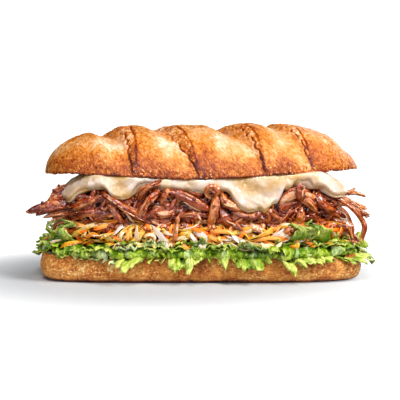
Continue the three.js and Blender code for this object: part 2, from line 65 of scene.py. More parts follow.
# %% [markdown]
# ## Small maths on whole arrays
# Food is uneven at every scale. Value noise gives that: each cell of a lattice gets a repeatable random
# number, and a point between the lattice's corners gets a smooth mix of them. Adding finer and fainter
# layers of the same noise makes it rough.


# %% Mixing and easing
def mix(start, end, share):
    """Straight mix of two values: start + (end - start) * share."""
    return start + (end - start) * share


def ease(value, start, end):
    """0 before start, 1 after end, and the smooth curve 3t^2 - 2t^3 between them."""
    share = np.clip((value - start) / (end - start), 0, 1)
    return share * share * (3 - 2 * share)


def signed_power(value, power):
    """The power of a number's size, with the number's own sign."""
    return np.sign(value) * np.abs(value) ** power


def unit(vectors):
    """Vectors of length 1 along the last axis."""
    return vectors / np.maximum(np.linalg.norm(vectors, axis=-1, keepdims=True), 1e-9)


print("a quarter of the way, eased:", ease(0.25, 0, 1))


# %% Noise
def lattice_number(cells, seed):
    """A repeatable number from -1 to 1 for each cell. The three cell numbers and the seed are multiplied by
    large odd numbers and added, and the bits of the sum are mixed by shifts and products."""
    low_bits = 0xFFFFFFFF
    mixed = (cells * np.array([73856093, 19349663, 83492791])).sum(-1) + seed * 40503007
    mixed = mixed & low_bits
    mixed = ((mixed ^ (mixed >> 15)) * 1181783497) & low_bits
    mixed = ((mixed ^ (mixed >> 13)) * 668265263) & low_bits
    return (mixed ^ (mixed >> 16)) / (low_bits / 2) - 1


def noise(points, size, seed):
    """Smooth noise from -1 to 1 with cells `size` wide: the numbers of the eight corners of a point's cell,
    mixed by the eased share 6t^5 - 15t^4 + 10t^3 along each axis."""
    place = points / size
    cell = np.floor(place).astype(np.int64)
    share = place - cell
    share = share**3 * (share * (share * 6 - 15) + 10)
    total = 0
    for corner in itertools.product((0, 1), repeat=3):
        weight = np.where(corner, share, 1 - share).prod(-1)
        total = total + weight * lattice_number(cell + corner, seed)
    return total


def rough(points, size, layers, seed):
    """Noise in layers, each half as wide and half as strong as the one before, scaled back to -1..1."""
    total = sum(noise(points, size / 2**k, seed + 17 * k) / 2**k for k in range(layers))
    return total / (2 - 2.0 ** (1 - layers))


print("rough noise at three points:", rough(np.array([[1.0, 2, 3], [4, 5, 6], [7, 8, 9]]), 5, 3, 1).round(2))


# %% Slow swells of the soft layers
def waves(x, y, phase):
    """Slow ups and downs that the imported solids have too: one wave of about 57 by 48 mm, and half as much
    of a slanting one of about 20 mm."""
    broad = np.sin(0.11 * x + phase) * np.cos(0.13 * y + 1.7 * phase)
    return broad + 0.5 * np.sin(0.27 * x - 0.21 * y + 2.3 * phase)


print("swells every 10 mm along the roll:", waves(10.0 * np.arange(5), 0, 0).round(2))


# %% [markdown]
# ## From arrays to meshes
# A closed skin is a row of rings, each a loop of points, with a pole that closes either end. Bread, cheese
# and heap are one skin each, and a hundred strands are a hundred skins in one mesh. So the helper takes an
# array of shape (skins, rings, points round, 3) and numbers the faces with arithmetic instead of loops.


# %% Faces of closed skins
def skin_faces(rings, around):
    """Faces of one skin whose points are numbered ring by ring, with the two poles last: a quad between each
    step of neighbouring rings, and a triangle from each step of the end rings to its pole."""
    ring, step = np.meshgrid(np.arange(rings - 1), np.arange(around), indexing="ij")
    here = ring * around + step
    beside = ring * around + (step + 1) % around
    quads = np.stack([here, beside, beside + around, here + around], -1).reshape(-1, 4)
    step = np.arange(around)
    after = (step + 1) % around
    last = (rings - 1) * around
    poles = rings * around + np.zeros((2, around), int) + [[0], [1]]
    start = np.stack([after, step, poles[0]], -1)
    end = np.stack([last + step, last + after, poles[1]], -1)
    return quads, np.concatenate([start, end])


def with_poles(values):
    """Appends the mean of the first ring and of the last ring to each skin's values, as its two poles."""
    skins, rings, around, size = values.shape
    flat = values.reshape(skins, rings * around, size)
    ends = np.stack([values[:, 0].mean(1), values[:, -1].mean(1)], 1)
    return np.concatenate([flat, ends], 1)


print("a skin of 3 rings of 8 has", [len(faces) for faces in skin_faces(3, 8)], "quads and triangles")


# %% One piece from points and faces
def place_object(name, data):
    """A new object at the origin that holds a mesh, a camera or a lamp, in the scene."""
    holder = bpy.data.objects.new(name, data)
    bpy.context.scene.collection.objects.link(holder)
    return holder


def make_piece(
    name, node, points, quads, triangles, materials, paint, face_material=None, smooth=True
):
    """Makes a mesh object at the origin from points in millimetres, smooth or with flat faces. `paint` holds
    named numbers or vectors for each point, for the materials to read. The piece rides on the root body and
    stands for its node, which it hides."""
    mesh = bpy.data.meshes.new(name)
    corners = np.concatenate([quads.ravel(), triangles.ravel()])
    sizes = np.concatenate([np.full(len(quads), 4), np.full(len(triangles), 3)])
    mesh.vertices.add(len(points))
    mesh.vertices.foreach_set("co", ((points + MIDDLE) * MM).astype(np.float32).ravel())
    mesh.loops.add(len(corners))
    mesh.loops.foreach_set("vertex_index", corners.astype(np.int32))
    mesh.polygons.add(len(sizes))
    mesh.polygons.foreach_set("loop_start", (np.cumsum(sizes) - sizes).astype(np.int32))
    mesh.polygons.foreach_set("use_smooth", np.full(len(sizes), smooth))
    if face_material is not None:
        mesh.polygons.foreach_set("material_index", face_material.astype(np.int32))
    mesh.update(calc_edges=True)
    for title, values in paint.items():
        kind, field = ("FLOAT_VECTOR", "vector") if values.shape[-1] == 3 else ("FLOAT", "value")
        layer = mesh.attributes.new(title, kind, "POINT")
        layer.data.foreach_set(field, values.astype(np.float32).ravel())
    for material in materials:
        mesh.materials.append(material)
    piece = place_object(name, mesh)
    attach(piece, "root")
    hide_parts(node)
    triangle_count = 2 * len(quads) + len(triangles)
    print(f"{name}: {triangle_count} triangles, z {points[:, 2].min():.1f} to {points[:, 2].max():.1f} mm")
    return piece


def make_skins(name, node, skins, materials, paint=None, ring_material=None, smooth=True):
    """Makes one piece of closed skins. `paint` has an array for each point of the skins, and
    `ring_material` the number of the material that each band of faces between two rings takes."""
    count, rings, around, _ = skins.shape
    quads, triangles = skin_faces(rings, around)
    first = np.arange(count)[:, None, None] * (rings * around + 2)
    face_material = None
    if ring_material is not None:
        bands = np.repeat(ring_material, around)
        caps = np.repeat([ring_material[0], ring_material[-1]], around)
        face_material = np.concatenate([np.tile(bands, count), np.tile(caps, count)])
    return make_piece(
        name,
        node,
        with_poles(skins).reshape(-1, 3),
        (quads + first).reshape(-1, 4),
        (triangles + first).reshape(-1, 3),
        materials,
        {title: with_poles(v).reshape(-1, v.shape[-1]) for title, v in (paint or {}).items()},
        face_material,
        smooth,
    )


def make_skin(name, node, skin, materials, paint, ring_material=None):
    """Makes one piece of a single closed skin (rings, around, 3). `paint` has a number or a vector for each
    of its points."""
    shaped = {title: v[None] if v.shape == skin.shape else v[None, ..., None] for title, v in paint.items()}
    return make_skins(name, node, skin[None], materials, shaped, ring_material)


def skin_normals(points):
    """Outward directions of one skin (rings, around, 3): the cross product of the step round the ring and
    the step to the next ring."""
    on = np.gradient(points, axis=0)
    beside = np.roll(points, -1, axis=1) - np.roll(points, 1, axis=1)
    return unit(np.cross(beside, on))


# %% [markdown]
# ## Colours and nodes
# Colours are written as the hex values that a screen shows, and one function turns them into the linear
# values that Blender mixes. Materials are small trees of nodes, and one function adds any node with its
# settings and its links.


# %% Colour and node helpers
def linear(hex_colour):
    """Linear RGBA of an sRGB hex colour: c / 12.92 for dark values, ((c + 0.055) / 1.055)^2.4 for others."""
    values = [int(hex_colour[i : i + 2], 16) / 255 for i in (1, 3, 5)]
    return [c / 12.92 if c <= 0.04045 else ((c + 0.055) / 1.055) ** 2.4 for c in values] + [1]


def new_material(name):
    """An empty material with the given name."""
    material = bpy.data.materials.new(name)
    material.use_nodes = True
    material.node_tree.nodes.clear()
    print("material:", name)
    return material


def add_node(owner, kind, settings=None, links=None):
    """Adds one shader node to a material or a world. A setting named like a property of the node sets it,
    `stops` fills a colour ramp with places and hex colours, and any other setting is the value of the input
    of that name or number. Each link joins an output of another node to an input."""
    node = owner.node_tree.nodes.new("ShaderNode" + kind)
    for name, value in (settings or {}).items():
        if name == "stops":
            elements = node.color_ramp.elements
            for element, (place, shade) in zip(elements, (value[0], value[-1])):
                element.position = place
                element.color = linear(shade)
            for place, shade in value[1:-1]:
                elements.new(place).color = linear(shade)
        elif isinstance(name, str) and name in node.bl_rna.properties:
            setattr(node, name, value)
        else:
            node.inputs[name].default_value = value
    for name, output in (links or {}).items():
        owner.node_tree.links.new(output, node.inputs[name])
    return node


print("middle grey is linear", round(linear("#808080")[0], 3))

# %% [markdown]
# ## Camera, floor and light
# The sandwich is looked at from a little above its middle, with a long lens that keeps the roll's length
# straight. A pale studio table fades out into a white room. The key light is a softbox high on the right, so
# that shadows fall to the left, and weaker soft lights fill the rest.

# %% Camera
LENS, SENSOR = 120, 36
CAMERA_DISTANCE = 733
CAMERA_ELEVATION = np.radians(5)
TARGET = np.array([-0.55, 0, 40.9]) + MIDDLE
camera_data = bpy.data.cameras.new("camera")
camera_data.lens = LENS
camera_data.sensor_width = SENSOR
camera_data.clip_end = 100
camera = place_object("camera", camera_data)
back = np.array([0, -np.cos(CAMERA_ELEVATION), np.sin(CAMERA_ELEVATION)])
camera.location = (TARGET + back * CAMERA_DISTANCE) * MM
camera.rotation_euler = (np.pi / 2 - CAMERA_ELEVATION, 0, 0)
bpy.context.scene.camera = camera
print("camera at", [round(c, 3) for c in camera.location])

# %% Floor
# In metres: its side, where its paint starts to thin and where it ends, and how far it is moved to the left.
FLOOR_SIZE = 1.2
FLOOR_NEAR, FLOOR_FAR = 0.065, 0.17
SHADOW_SIDE = 0.02
white_table = new_material("white studio table")
# Matt pale paint. Near the food it is plain and takes the shadows. Further out it thins away to nothing, and
# the white room shows. The middle of the painted part lies a little to the shadow's side.
place = add_node(white_table, "TexCoord").outputs["Object"]
place = add_node(white_table, "VectorMath", {1: (SHADOW_SIDE, 0, 0)}, {0: place}).outputs[0]
away = add_node(white_table, "VectorMath", {"operation": "LENGTH"}, {0: place}).outputs["Value"]
far = add_node(
    white_table,
    "MapRange",
    {"interpolation_type": "SMOOTHSTEP", "From Min": FLOOR_NEAR, "From Max": FLOOR_FAR},
    {"Value": away},
).outputs[0]
paint = add_node(
    white_table,
    "BsdfPrincipled",
    {"Base Color": linear("#C8CACD"), "Roughness": 0.6, "Specular IOR Level": 0.2},
)
clear = add_node(white_table, "BsdfTransparent")
table_mix = add_node(white_table, "MixShader", {}, {0: far, 1: paint.outputs[0], 2: clear.outputs[0]})
add_node(white_table, "OutputMaterial", {}, {"Surface": table_mix.outputs[0]})
corners = np.array([[-1, -1, 0], [1, -1, 0], [1, 1, 0], [-1, 1, 0]]) * FLOOR_SIZE / 2
floor_mesh = bpy.data.meshes.new("studio_table")
floor_mesh.from_pydata(corners.tolist(), [], [(0, 1, 2, 3)])
floor_mesh.materials.append(white_table)
studio_table = place_object("studio_table", floor_mesh)
print(f"table: painted to {FLOOR_NEAR * 1000:.0f} mm from its middle, clear from {FLOOR_FAR * 1000:.0f} mm")


# %% Lights
def softbox(name, place, size, power):
    """A square white lamp at a place in metres, turned to face the middle of the sandwich."""
    lamp = bpy.data.lights.new(name, "AREA")
    lamp.size = size
    lamp.energy = power
    holder = place_object(name, lamp)
    towards = np.array([0, 0, 0.04]) - place
    turn = np.arctan2(towards[1], towards[0])
    tip = np.arctan2(np.hypot(towards[0], towards[1]), -towards[2])
    holder.location = place
    holder.rotation_euler = (tip, 0, turn - np.pi / 2)
    print(f"{name}: {power} W, {np.linalg.norm(towards):.2f} m away")


softbox("key_light", np.array([0.66, -0.46, 0.68]), 0.38, 8.8)
softbox("left_fill", np.array([-0.9, -0.9, 0.26]), 0.6, 3.2)
softbox("right_fill", np.array([0.95, -0.5, 0.2]), 0.5, 2.4)
softbox("front_fill", np.array([-0.1, -1.3, 0.4]), 0.5, 3)
softbox("top_light", np.array([-0.1, -0.65, 0.95]), 0.4, 6)
softbox("back_fill", np.array([0.5, 0.95, 0.3]), 0.8, 3.6)

# %% The white room
# The camera sees the room white. For all other rays it is nearly dark, so the softboxes alone shape the food.
ROOM_LIGHT, ROOM_SEEN = 0.05, 1.1
world = bpy.data.worlds.new("studio")
world.use_nodes = True
seen = add_node(world, "LightPath").outputs["Is Camera Ray"]
bright = add_node(world, "MapRange", {"To Min": ROOM_LIGHT, "To Max": ROOM_SEEN}, {"Value": seen}).outputs[0]
room = world.node_tree.nodes["Background"]
room.inputs["Color"].default_value = (1, 1, 1, 1)
world.node_tree.links.new(bright, room.inputs["Strength"])
bpy.context.scene.world = world
bpy.context.scene.view_settings.view_transform = "Standard"
bpy.context.scene.view_settings.look = "Medium High Contrast"
print("the room lights the food with", ROOM_LIGHT, "of its white")

# %% [markdown]
# ## The roll's bread
# A sub roll is a lean yeast dough, scored, steamed and baked until its skin is golden. The skin is thin,
# satin and finely wrinkled, darker where it is high and old, and paler where the dough stretched last. One
# material serves both halves. The pieces paint four numbers on their points: one from pale to dark, for how
# brown the skin baked and also for painted highlight and shade, `torn`, where the skin broke open, `smooth`,
# where it stretched, and `flecks`, where small blisters stayed pale. A vector `dough` runs along the stretch,
# so streaks can follow it.


# %% Baked crust
def baked_crust(name, stops):
    """Lean bread skin, baked: a ramp from pale to dark follows `bake`, unsettled by blotches of 4 mm, by
    wrinkles of 1 by 4 mm along the stretch, and by specks of 1.5 mm. Where the skin has stretched `smooth`,
    it has less of the specks and more of the wrinkles. Torn skin is rougher and matter. `flecks` of 1 mm are
    small blisters that stayed pale: the high parts of one more noise."""
    crust = new_material(name)
    bake, torn, smooth, flecks = (
        add_node(crust, "Attribute", {"attribute_name": painted}).outputs["Fac"]
        for painted in ("bake", "torn", "smooth", "flecks")
    )
    dough = add_node(crust, "Attribute", {"attribute_name": "dough"}).outputs["Vector"]
    place = add_node(crust, "TexCoord").outputs["Object"]
    streak_place = add_node(crust, "Mapping", {"Scale": (1, 1 / 4, 1)}, {"Vector": dough}).outputs[0]
    streaks = add_node(
        crust, "TexNoise", {"Scale": 1, "Detail": 3, "Roughness": 0.65}, {"Vector": streak_place}
    ).outputs["Fac"]
    blotches = add_node(
        crust, "TexNoise", {"Scale": 1 / 0.004, "Detail": 3, "Roughness": 0.55}, {"Vector": place}
    ).outputs["Fac"]
    specks = add_node(
        crust, "TexNoise", {"Scale": 1 / 0.0015, "Detail": 3, "Roughness": 0.7}, {"Vector": place}
    ).outputs["Fac"]
    tone = bake
    # How strong each pattern is on plain skin, and on smooth skin.
    parts = ((streaks, 0.6, 1), (blotches, 0.7, 0.5), (specks, 1.15, 0.35))
    for pattern, on_plain, on_smooth in parts:
        span = {"To Min": on_plain, "To Max": on_smooth}
        part = add_node(crust, "MapRange", span, {"Value": smooth}).outputs[0]
        swing = add_node(crust, "Math", {"operation": "SUBTRACT", 1: 0.5}, {0: pattern}).outputs[0]
        tone = add_node(crust, "Math", {"operation": "MULTIPLY_ADD"}, {0: swing, 1: part, 2: tone}).outputs[0]
    grit = add_node(
        crust, "TexNoise", {"Scale": 1 / 0.0011, "Detail": 2, "Roughness": 0.6}, {"Vector": place}
    ).outputs["Fac"]
    blisters = add_node(
        crust, "MapRange", {"From Min": 0.53, "From Max": 0.65, "To Max": -0.34}, {"Value": grit}
    ).outputs[0]
    tone = add_node(
        crust, "Math", {"operation": "MULTIPLY_ADD"}, {0: blisters, 1: flecks, 2: tone}
    ).outputs[0]
    skin = add_node(crust, "ValToRGB", {"stops": stops}, {"Fac": tone}).outputs["Color"]
    roughness = add_node(crust, "MapRange", {"To Min": 0.38, "To Max": 0.75}, {"Value": torn}).outputs[0]
    fine = add_node(crust, "Bump", {"Strength": 0.9, "Distance": 0.0006}, {"Height": specks}).outputs[0]
    wrinkled = add_node(
        crust, "Bump", {"Strength": 0.8, "Distance": 0.0013}, {"Height": streaks, "Normal": fine}
    ).outputs[0]
    shader = add_node(
        crust,
        "BsdfPrincipled",
        {
            "IOR": 1.5,
            "Specular IOR Level": 0.5,
            "Subsurface Weight": 0.06,
            "Subsurface Scale": 0.002,
            "Coat Weight": 0.3,
            "Coat Roughness": 0.2,
        },
        {"Base Color": skin, "Roughness": roughness, "Normal": wrinkled, "Coat Normal": wrinkled},
    )
    add_node(crust, "OutputMaterial", {}, {"Surface": shader.outputs[0]})
    return crust


# From raw pale dough to the brown of the highest bake. The heel's is yellower, and darker at its foot.
crown_crust = baked_crust(
    "baked crown crust",
    [
        (0.02, "#FFDCC0"),
        (0.22, "#F4B882"),
        (0.42, "#E4943E"),
        (0.62, "#C46818"),
        (0.84, "#9C4210"),
        (1, "#642408"),
    ],
)
heel_crust = baked_crust(
    "baked heel crust",
    [
        (0.02, "#FFE2A8"),
        (0.24, "#F6BE70"),
        (0.46, "#DE943E"),
        (0.68, "#BA6824"),
        (0.88, "#8C3E12"),
        (1, "#441804"),
    ],
)

# %% [markdown]
# ## Cut crumb
# Where the roll was sliced, its soft inside shows: cream, matt, and full of pores of 0.5 to 3 mm. A cell
# pattern gives the pores, and both halves share the material.

# %% Crumb
crumb = new_material("soft bread crumb")
# Baked starch foam: matt and a little see-through, with pores that are painted darker inside as their shade.
place = add_node(crumb, "TexCoord").outputs["Object"]
pores = add_node(crumb, "TexVoronoi", {"Scale": 1 / 0.0022}, {"Vector": place}).outputs["Distance"]
holes = add_node(crumb, "MapRange", {"From Min": 0.12, "From Max": 0.5}, {"Value": pores}).outputs[0]
inside = add_node(
    crumb,
    "ValToRGB",
    {"stops": [(0, "#C79A58"), (0.5, "#EBD3A0"), (1, "#F6E6C2")]},
    {"Fac": holes},
).outputs["Color"]
pitted = add_node(crumb, "Bump", {"Strength": 0.8, "Distance": 0.0008}, {"Height": holes}).outputs[0]
shader = add_node(
    crumb,
    "BsdfPrincipled",
    {"Roughness": 0.85, "IOR": 1.4, "Subsurface Weight": 0.15, "Subsurface Scale": 0.003},
    {"Base Color": inside, "Normal": pitted},
)
add_node(crumb, "OutputMaterial", {}, {"Surface": shader.outputs[0]})

# %% [markdown]
# ## The outline that all layers share
# Seen from above the heel and the fillings are superellipses, |x|^4 + |y|^4 = 1 stretched to their half
# sizes: a rectangle with very round corners. Points spaced evenly round it keep the mesh's faces alike.

# %% Superellipse outline
PLAN_POWER = 4
DENSE = 2880


def even_outline(half_length, half_width, count, power=PLAN_POWER):
    """Points of |x|^power + |y|^power = 1, anticlockwise from +x, at equal steps of the stretched outline: a
    dense outline's length is added up, and its points are looked up at equal shares of that length."""
    angle = np.linspace(0, 2 * np.pi, DENSE + 1)
    across, up = np.cos(angle), np.sin(angle)
    radius = (np.abs(across) ** power + np.abs(up) ** power) ** (-1 / power)
    dense = np.stack([across, up], -1) * radius[:, None]
    steps = np.linalg.norm(np.diff(dense, axis=0) * [half_length, half_width], axis=-1)
    along = np.concatenate([[0], np.cumsum(steps)]) / steps.sum()
    share = np.arange(count) / count
    return np.stack([np.interp(share, along, dense[:, axis]) for axis in (0, 1)], -1)


print("eight even points round a 2:1 outline:", even_outline(2, 1, 8).round(2).tolist())

# %% [markdown]
# ## The heel
# The bottom half of the roll stands on a flat foot that the oven floor browned, and rounds up into a nearly
# upright side. It is one skin of rings: out along the foot, up the round edge and the side, and back in over
# the cut. A quarter circle makes the round edge, and noise along the normals adds the dimples.

# %% Heel shape
HEEL = {
    "half_length": 87,
    "half_width": 38,
    "height": 14.5,
    "foot_inset": 8.5,
    "foot_height": 9,
    "cut_inset": 0.9,
}
HEEL_AROUND = 560
HEEL_POWER = 5
# How far in from the edge the rings lie that cross the foot, and those that run home over the cut.
FOOT_INSETS = np.array([30, 22, 16, 12, 10])
CUT_INSETS = np.array([0.6, 1.5, 3, 5, 8, 12, 17, 23, 29])


def heel_rings():
    """Inset and height of each ring: the foot at z = 0, then a round edge, inset * (1 - sin^0.7 a) and
    height * (1 - cos^0.7 a) for a from 0 to 90 degrees, then the side, the cut edge with a radius of
    0.6 mm, and the cut face."""
    turn = np.linspace(0, np.pi / 2, 22)
    fuller = 0.7
    edge = 0.6
    lean = np.linspace(0, 1, 11)[1:]
    side_top = HEEL["height"] - edge
    round_over = np.linspace(0, np.pi / 2, 5)[1:]
    inset = [
        FOOT_INSETS,
        HEEL["foot_inset"] * (1 - np.sin(turn) ** fuller),
        HEEL["cut_inset"] * lean,
        HEEL["cut_inset"] + edge * (1 - np.cos(round_over)),
        HEEL["cut_inset"] + edge + CUT_INSETS,
    ]
    level = [
        0 * FOOT_INSETS,
        HEEL["foot_height"] * (1 - np.maximum(np.cos(turn), 0) ** fuller),
        mix(HEEL["foot_height"], side_top, lean),
        side_top + edge * np.sin(round_over),
        np.full(len(CUT_INSETS), HEEL["height"]),
    ]
    return np.concatenate(inset), np.concatenate(level)


inset, level = heel_rings()
outline = even_outline(HEEL["half_length"], HEEL["half_width"], HEEL_AROUND, HEEL_POWER)
x = (HEEL["half_length"] - inset[:, None]) * outline[:, 0]
y = (HEEL["half_width"] - inset[:, None]) * outline[:, 1]
swell = 1 + 0.2 * waves(x, y, 1.3) / HEEL["half_width"]
heel = np.stack([x * swell, y * swell, level[:, None] + 0 * x], -1)
on_side = (ease(level, 0.3, 3) * ease(-inset, -9, -5))[:, None]
dimples = 0.3 * rough(heel, 7, 2, 5) + 0.3 * rough(heel, 1.7, 2, 6)
heel = heel + skin_normals(heel) * (dimples * on_side)[..., None]
print(f"heel: {len(level)} rings, dimples from {dimples.min():.2f} to {dimples.max():.2f} mm")

# %% Heel paint
# Blotches of 9 mm, a dark foot from the oven floor, and painted shade along the top of the side, under the
# lettuce. Pale flecks come in patches of 14 mm on the side, with fewer of them near the cut.
heel_level = heel[..., 2]
heel_bake_and_shade = 0.53 + 0.18 * rough(heel, 9, 2, 8) - 0.03 * (1 - ease(heel[..., 0], -85, -60))
# Painted shade along the top of the side, under the lettuce.
heel_bake_and_shade = heel_bake_and_shade + 0.44 * (1 - ease(heel_level, 0.4, 2.6)) + 0.1 * ease(heel_level, 12.5, 14)
heel_flecks = 1.4 * ease(rough(heel, 14, 2, 9), -0.5, 0.3) * ease(heel_level, 1, 4)
heel_flecks = heel_flecks * (1 - 0.6 * ease(heel_level, 9, 13))
first_crumb_ring = len(level) - len(CUT_INSETS)
make_skin(
    "heel_of_roll",
    "bun_heel",
    heel,
    [heel_crust, crumb],
    {
        "bake": heel_bake_and_shade,
        "torn": np.full(heel_bake_and_shade.shape, 0.45),
        "smooth": np.zeros(heel_bake_and_shade.shape),
        "flecks": heel_flecks,
        "dough": heel * [0.4, 0.4, 2.5],
    },
    (np.arange(len(level) - 1) >= first_crumb_ring).astype(int),
)

# %% [markdown]
# ## The crown
# The top half was scored four times across, slanting, before it was baked. Each score opened: the old skin on
# its left stretched pale and curls over the score, and the fresh, rough dough in it climbs to the dark edge
# of the next piece of skin. The surface is a function of two numbers: where a section crosses the crest, and
# the angle over the top. Sections lean with the scores, so the scores follow the grid, and each lip and crack
# is a step in the height with a ragged edge.

# %% Crown dimensions
CROWN = {
    "half_length": 85.3,
    "half_width": 40,
    "height": 26,
    "rim": 55.3,
    "rim_sag": 1.25,
    "rim_rise": 1.8,
    "tilt": 0.01,
    "plan_power": 3.2,
    "left_power": 4.4,
    "right_power": 3.4,
    "section_across": 0.88,
    "section_up": 0.92,
}
SCORE_LEAN = 25
# A score crosses the crest at `at`, is `open` wide and `deep`. Its crack lies at a share of the opening.
SCORES = [
    {"at": -54, "open": 13, "deep": 5.2, "crack": 0.5},
    {"at": -25, "open": 10, "deep": 4.6, "crack": 0.06},
    {"at": 9, "open": 12.5, "deep": 5.6, "crack": 0.55},
    {"at": 36, "open": 12, "deep": 3.4, "crack": 0.6},
]
# The skin starts to fall this far left of a score, and falls by this share of its depth to the lip.
SCORE_FALL, LIP_SHARE = 9, 0.7
# Between two scores the skin swells by this much. Where the dome is lower than this, its relief shrinks.
SWELL, FULL_RELIEF = 0.9, 12
# Sections along the crown, points over the top of each, and points on its way home under the crust.
CROWN_STATIONS, CROWN_ROUND, CROWN_HOME = 400, 196, 34
print("scores at", [score["at"] for score in SCORES], "mm, leaning by", SCORE_LEAN, "mm to each side")


# %% Crown formulas
def crown_size(x):
    """Half width and height at x: superellipses that fall to zero at both tips. The dough has risen 1.8 mm
    more round x = 42, as a bell curve, and its right tip is lower by 18 %."""
    share = np.minimum(np.abs(x) / CROWN["half_length"], 1)
    power = np.where(x < 0, CROWN["left_power"], CROWN["right_power"])
    half_width = CROWN["half_width"] * np.sqrt(1 - share ** CROWN["plan_power"])
    risen = 1.8 * np.exp(-(((x - 42) / 20) ** 2))
    height = (CROWN["height"] + risen) * np.sqrt(1 - share**power) * (1 - 0.18 * ease(x, 70, 79))
    return half_width, height


def crown_base(x):
    """Level that the dome is measured from: it sags between the tips and tilts up to the right."""
    return CROWN["rim"] + CROWN["tilt"] * x + CROWN["rim_sag"] * (x / CROWN["half_length"]) ** 2


def crown_rim(x):
    """Level of the cut. The warm roll has sunk in its middle, so the cut rises to both sides from there,
    and it is let down again at the left tip."""
    rise = ease(np.abs(x), 6, 55) - 0.7 * ease(-x, 70, 84)
    return crown_base(x) + CROWN["rim_rise"] * rise


def score_relief(crest, upright, ragged):
    """Height of the crust over the plain dome, how torn it is, how near it is to a crack and to the far edge
    of a band, and how far it is from one score (0) to the next (1). Left of a score the skin falls by an
    eased step to its lip. In the score it drops to full depth and climbs again, with a crack and a small
    step up into the torn band. Powers of `upright` close the scores and flatten them towards the rim."""
    fade = upright**0.6
    close = upright**1.1
    relief, torn, crack, edge = np.zeros((4,) + crest.shape)
    lobe = np.clip((crest + CROWN["half_length"]) / (SCORES[0]["at"] + CROWN["half_length"]), 0, 1)
    for k, score in enumerate(SCORES):
        start = crest - score["at"]
        width = np.maximum(score["open"] * close, 0.8)
        split = start - score["crack"] * width - ragged * np.minimum(1, width / 4)
        sunk = (1 - ease(start, 0, width)) * (start >= 0)
        relief -= score["deep"] * LIP_SHARE * ease(start, -SCORE_FALL, 0) * (start < 0)
        relief -= score["deep"] * sunk * mix(LIP_SHARE, 1, ease(start, 0, 3))
        # The band is torn from the crack to the opening's far side, and both its ends are ragged.
        in_band = ease(split, 0, 0.5) * (1 - ease(start + 0.5 * ragged, width - 0.9, width + 0.2))
        torn = np.maximum(torn, in_band * ease(upright, 0.03, 0.22))
        crack = np.maximum(crack, np.exp(-(((split - 0.3) / 0.42) ** 2)) * ease(upright, 0.02, 0.15))
        # The lip curls up before the crack, the crack goes down, and a fine groove ends the band.
        relief += 1.2 * np.exp(-(((split + 0.9) / 0.9) ** 2)) * close
        relief -= 1.6 * np.exp(-(((split - 0.45) / 0.5) ** 2)) * close
        border = np.exp(-(((start - width + 0.3 * ragged) / 0.6) ** 2))
        relief -= 0.8 * border * close
        edge = np.maximum(edge, border * ease(upright, 0.05, 0.3))
        # On the way to the next score, or to the right tip, the skin swells as half a sine.
        following = SCORES[k + 1]["at"] if k + 1 < len(SCORES) else CROWN["half_length"]
        share = start / (following - score["at"])
        relief += np.where((share > 0) & (share < 1), SWELL * np.sin(np.pi * np.clip(share, 0, 1)), 0)
        lobe = np.where(start > width, (start - width) / (following - score["at"] - width), lobe)
    return relief * fade, torn, crack, edge, np.clip(lobe, 0, 1)


# %% Sections of the crown
# Stations stand closer together at the scores and towards the tips: the wanted number for each millimetre is
# added up, and the stations are looked up at equal shares of the sum.
dense = CROWN["half_length"] * np.linspace(-1, 1, 4001)
wanted = 1 + 2 * np.abs(dense / CROWN["half_length"]) ** 12
wanted += sum(1.5 * np.exp(-(((dense - score["at"] - 0.3 * score["open"]) / 8) ** 2)) for score in SCORES)
added_up = np.cumsum(wanted)
crest = np.interp(np.linspace(added_up[0], added_up[-1], CROWN_STATIONS + 2)[1:-1], added_up, dense)
crest, angle = np.meshgrid(crest, np.pi * np.linspace(0, 1, CROWN_ROUND), indexing="ij")
across, upright = np.cos(angle), np.maximum(np.sin(angle), 0)
lean = SCORE_LEAN * (1 - np.abs(crest / CROWN["half_length"]) ** 3)
x = crest + lean * (2 * angle / np.pi - 1)
apart = np.diff(crest[:, 0])
print("sections stand", apart.min().round(2), "to", apart.max().round(2), "mm apart")

# %% Plain dome
# The dome's crest keeps its level where the rim rises, so it gets lower there, but not below 0.4 of itself.
half_width, height = crown_size(x)
height = np.maximum(height + crown_base(x) - crown_rim(x), 0.4 * height)
plain = np.stack(
    [
        x,
        half_width * signed_power(across, CROWN["section_across"]),
        crown_rim(x) + height * upright ** CROWN["section_up"],
    ],
    -1,
)
print("dome, mm:", plain.reshape(-1, 3).min(0).round(1), "to", plain.reshape(-1, 3).max(0).round(1))

# %% Scores, wrinkles and tears
ragged = 1.7 * rough(plain * [0.35, 1, 1], 6, 2, 21) + 0.9 * noise(plain * [0.3, 1, 1], 2.2, 22)
relief, torn, crack, edge, lobe = score_relief(crest, upright, ragged)
relief = relief * np.minimum(1, height / FULL_RELIEF)
stretch = np.stack([crest, 45 * angle, 0 * x], -1)
wrinkles = 0.3 * rough(stretch * [1, 0.3, 1], 1.8, 2, 31) + 0.25 * rough(plain, 6, 3, 33)
tears = 0.75 * rough(stretch * [1, 0.4, 1], 2, 3, 35) + 0.4 * rough(plain, 1.2, 2, 37)
detail = mix(wrinkles, tears, torn) + 0.2 * rough(plain, 1.4, 2, 39)
outward = np.stack([0 * x, across, upright], -1)
crust = plain + outward * (relief + detail * ease(upright, 0, 0.08))[..., None]
crust[..., 2] += (1 - ease(upright, 0, 0.12)) * 0.7 * (rough(plain, 2, 3, 41) - 0.1)
print("crown relief, mm:", relief.min().round(2), "to", relief.max().round(2))

# %% Crown's cut face
# It runs home under the crust, from the far rim of each section to the near one, and level in between.
home = np.linspace(0, 1, CROWN_HOME + 2)[1:-1][None, :, None]
cut = mix(crust[:, -1:, :], crust[:, :1, :], home)
inward = ease(home[..., 0], 0, 0.06) * ease(1 - home[..., 0], 0, 0.06)
cut[..., 2] = mix(cut[..., 2], crown_rim(cut[..., 0]) + 0.25, inward)
crown = np.concatenate([crust, cut], axis=1)
print("cut face, mm:", cut[..., 2].min().round(1), "to", cut[..., 2].max().round(1))
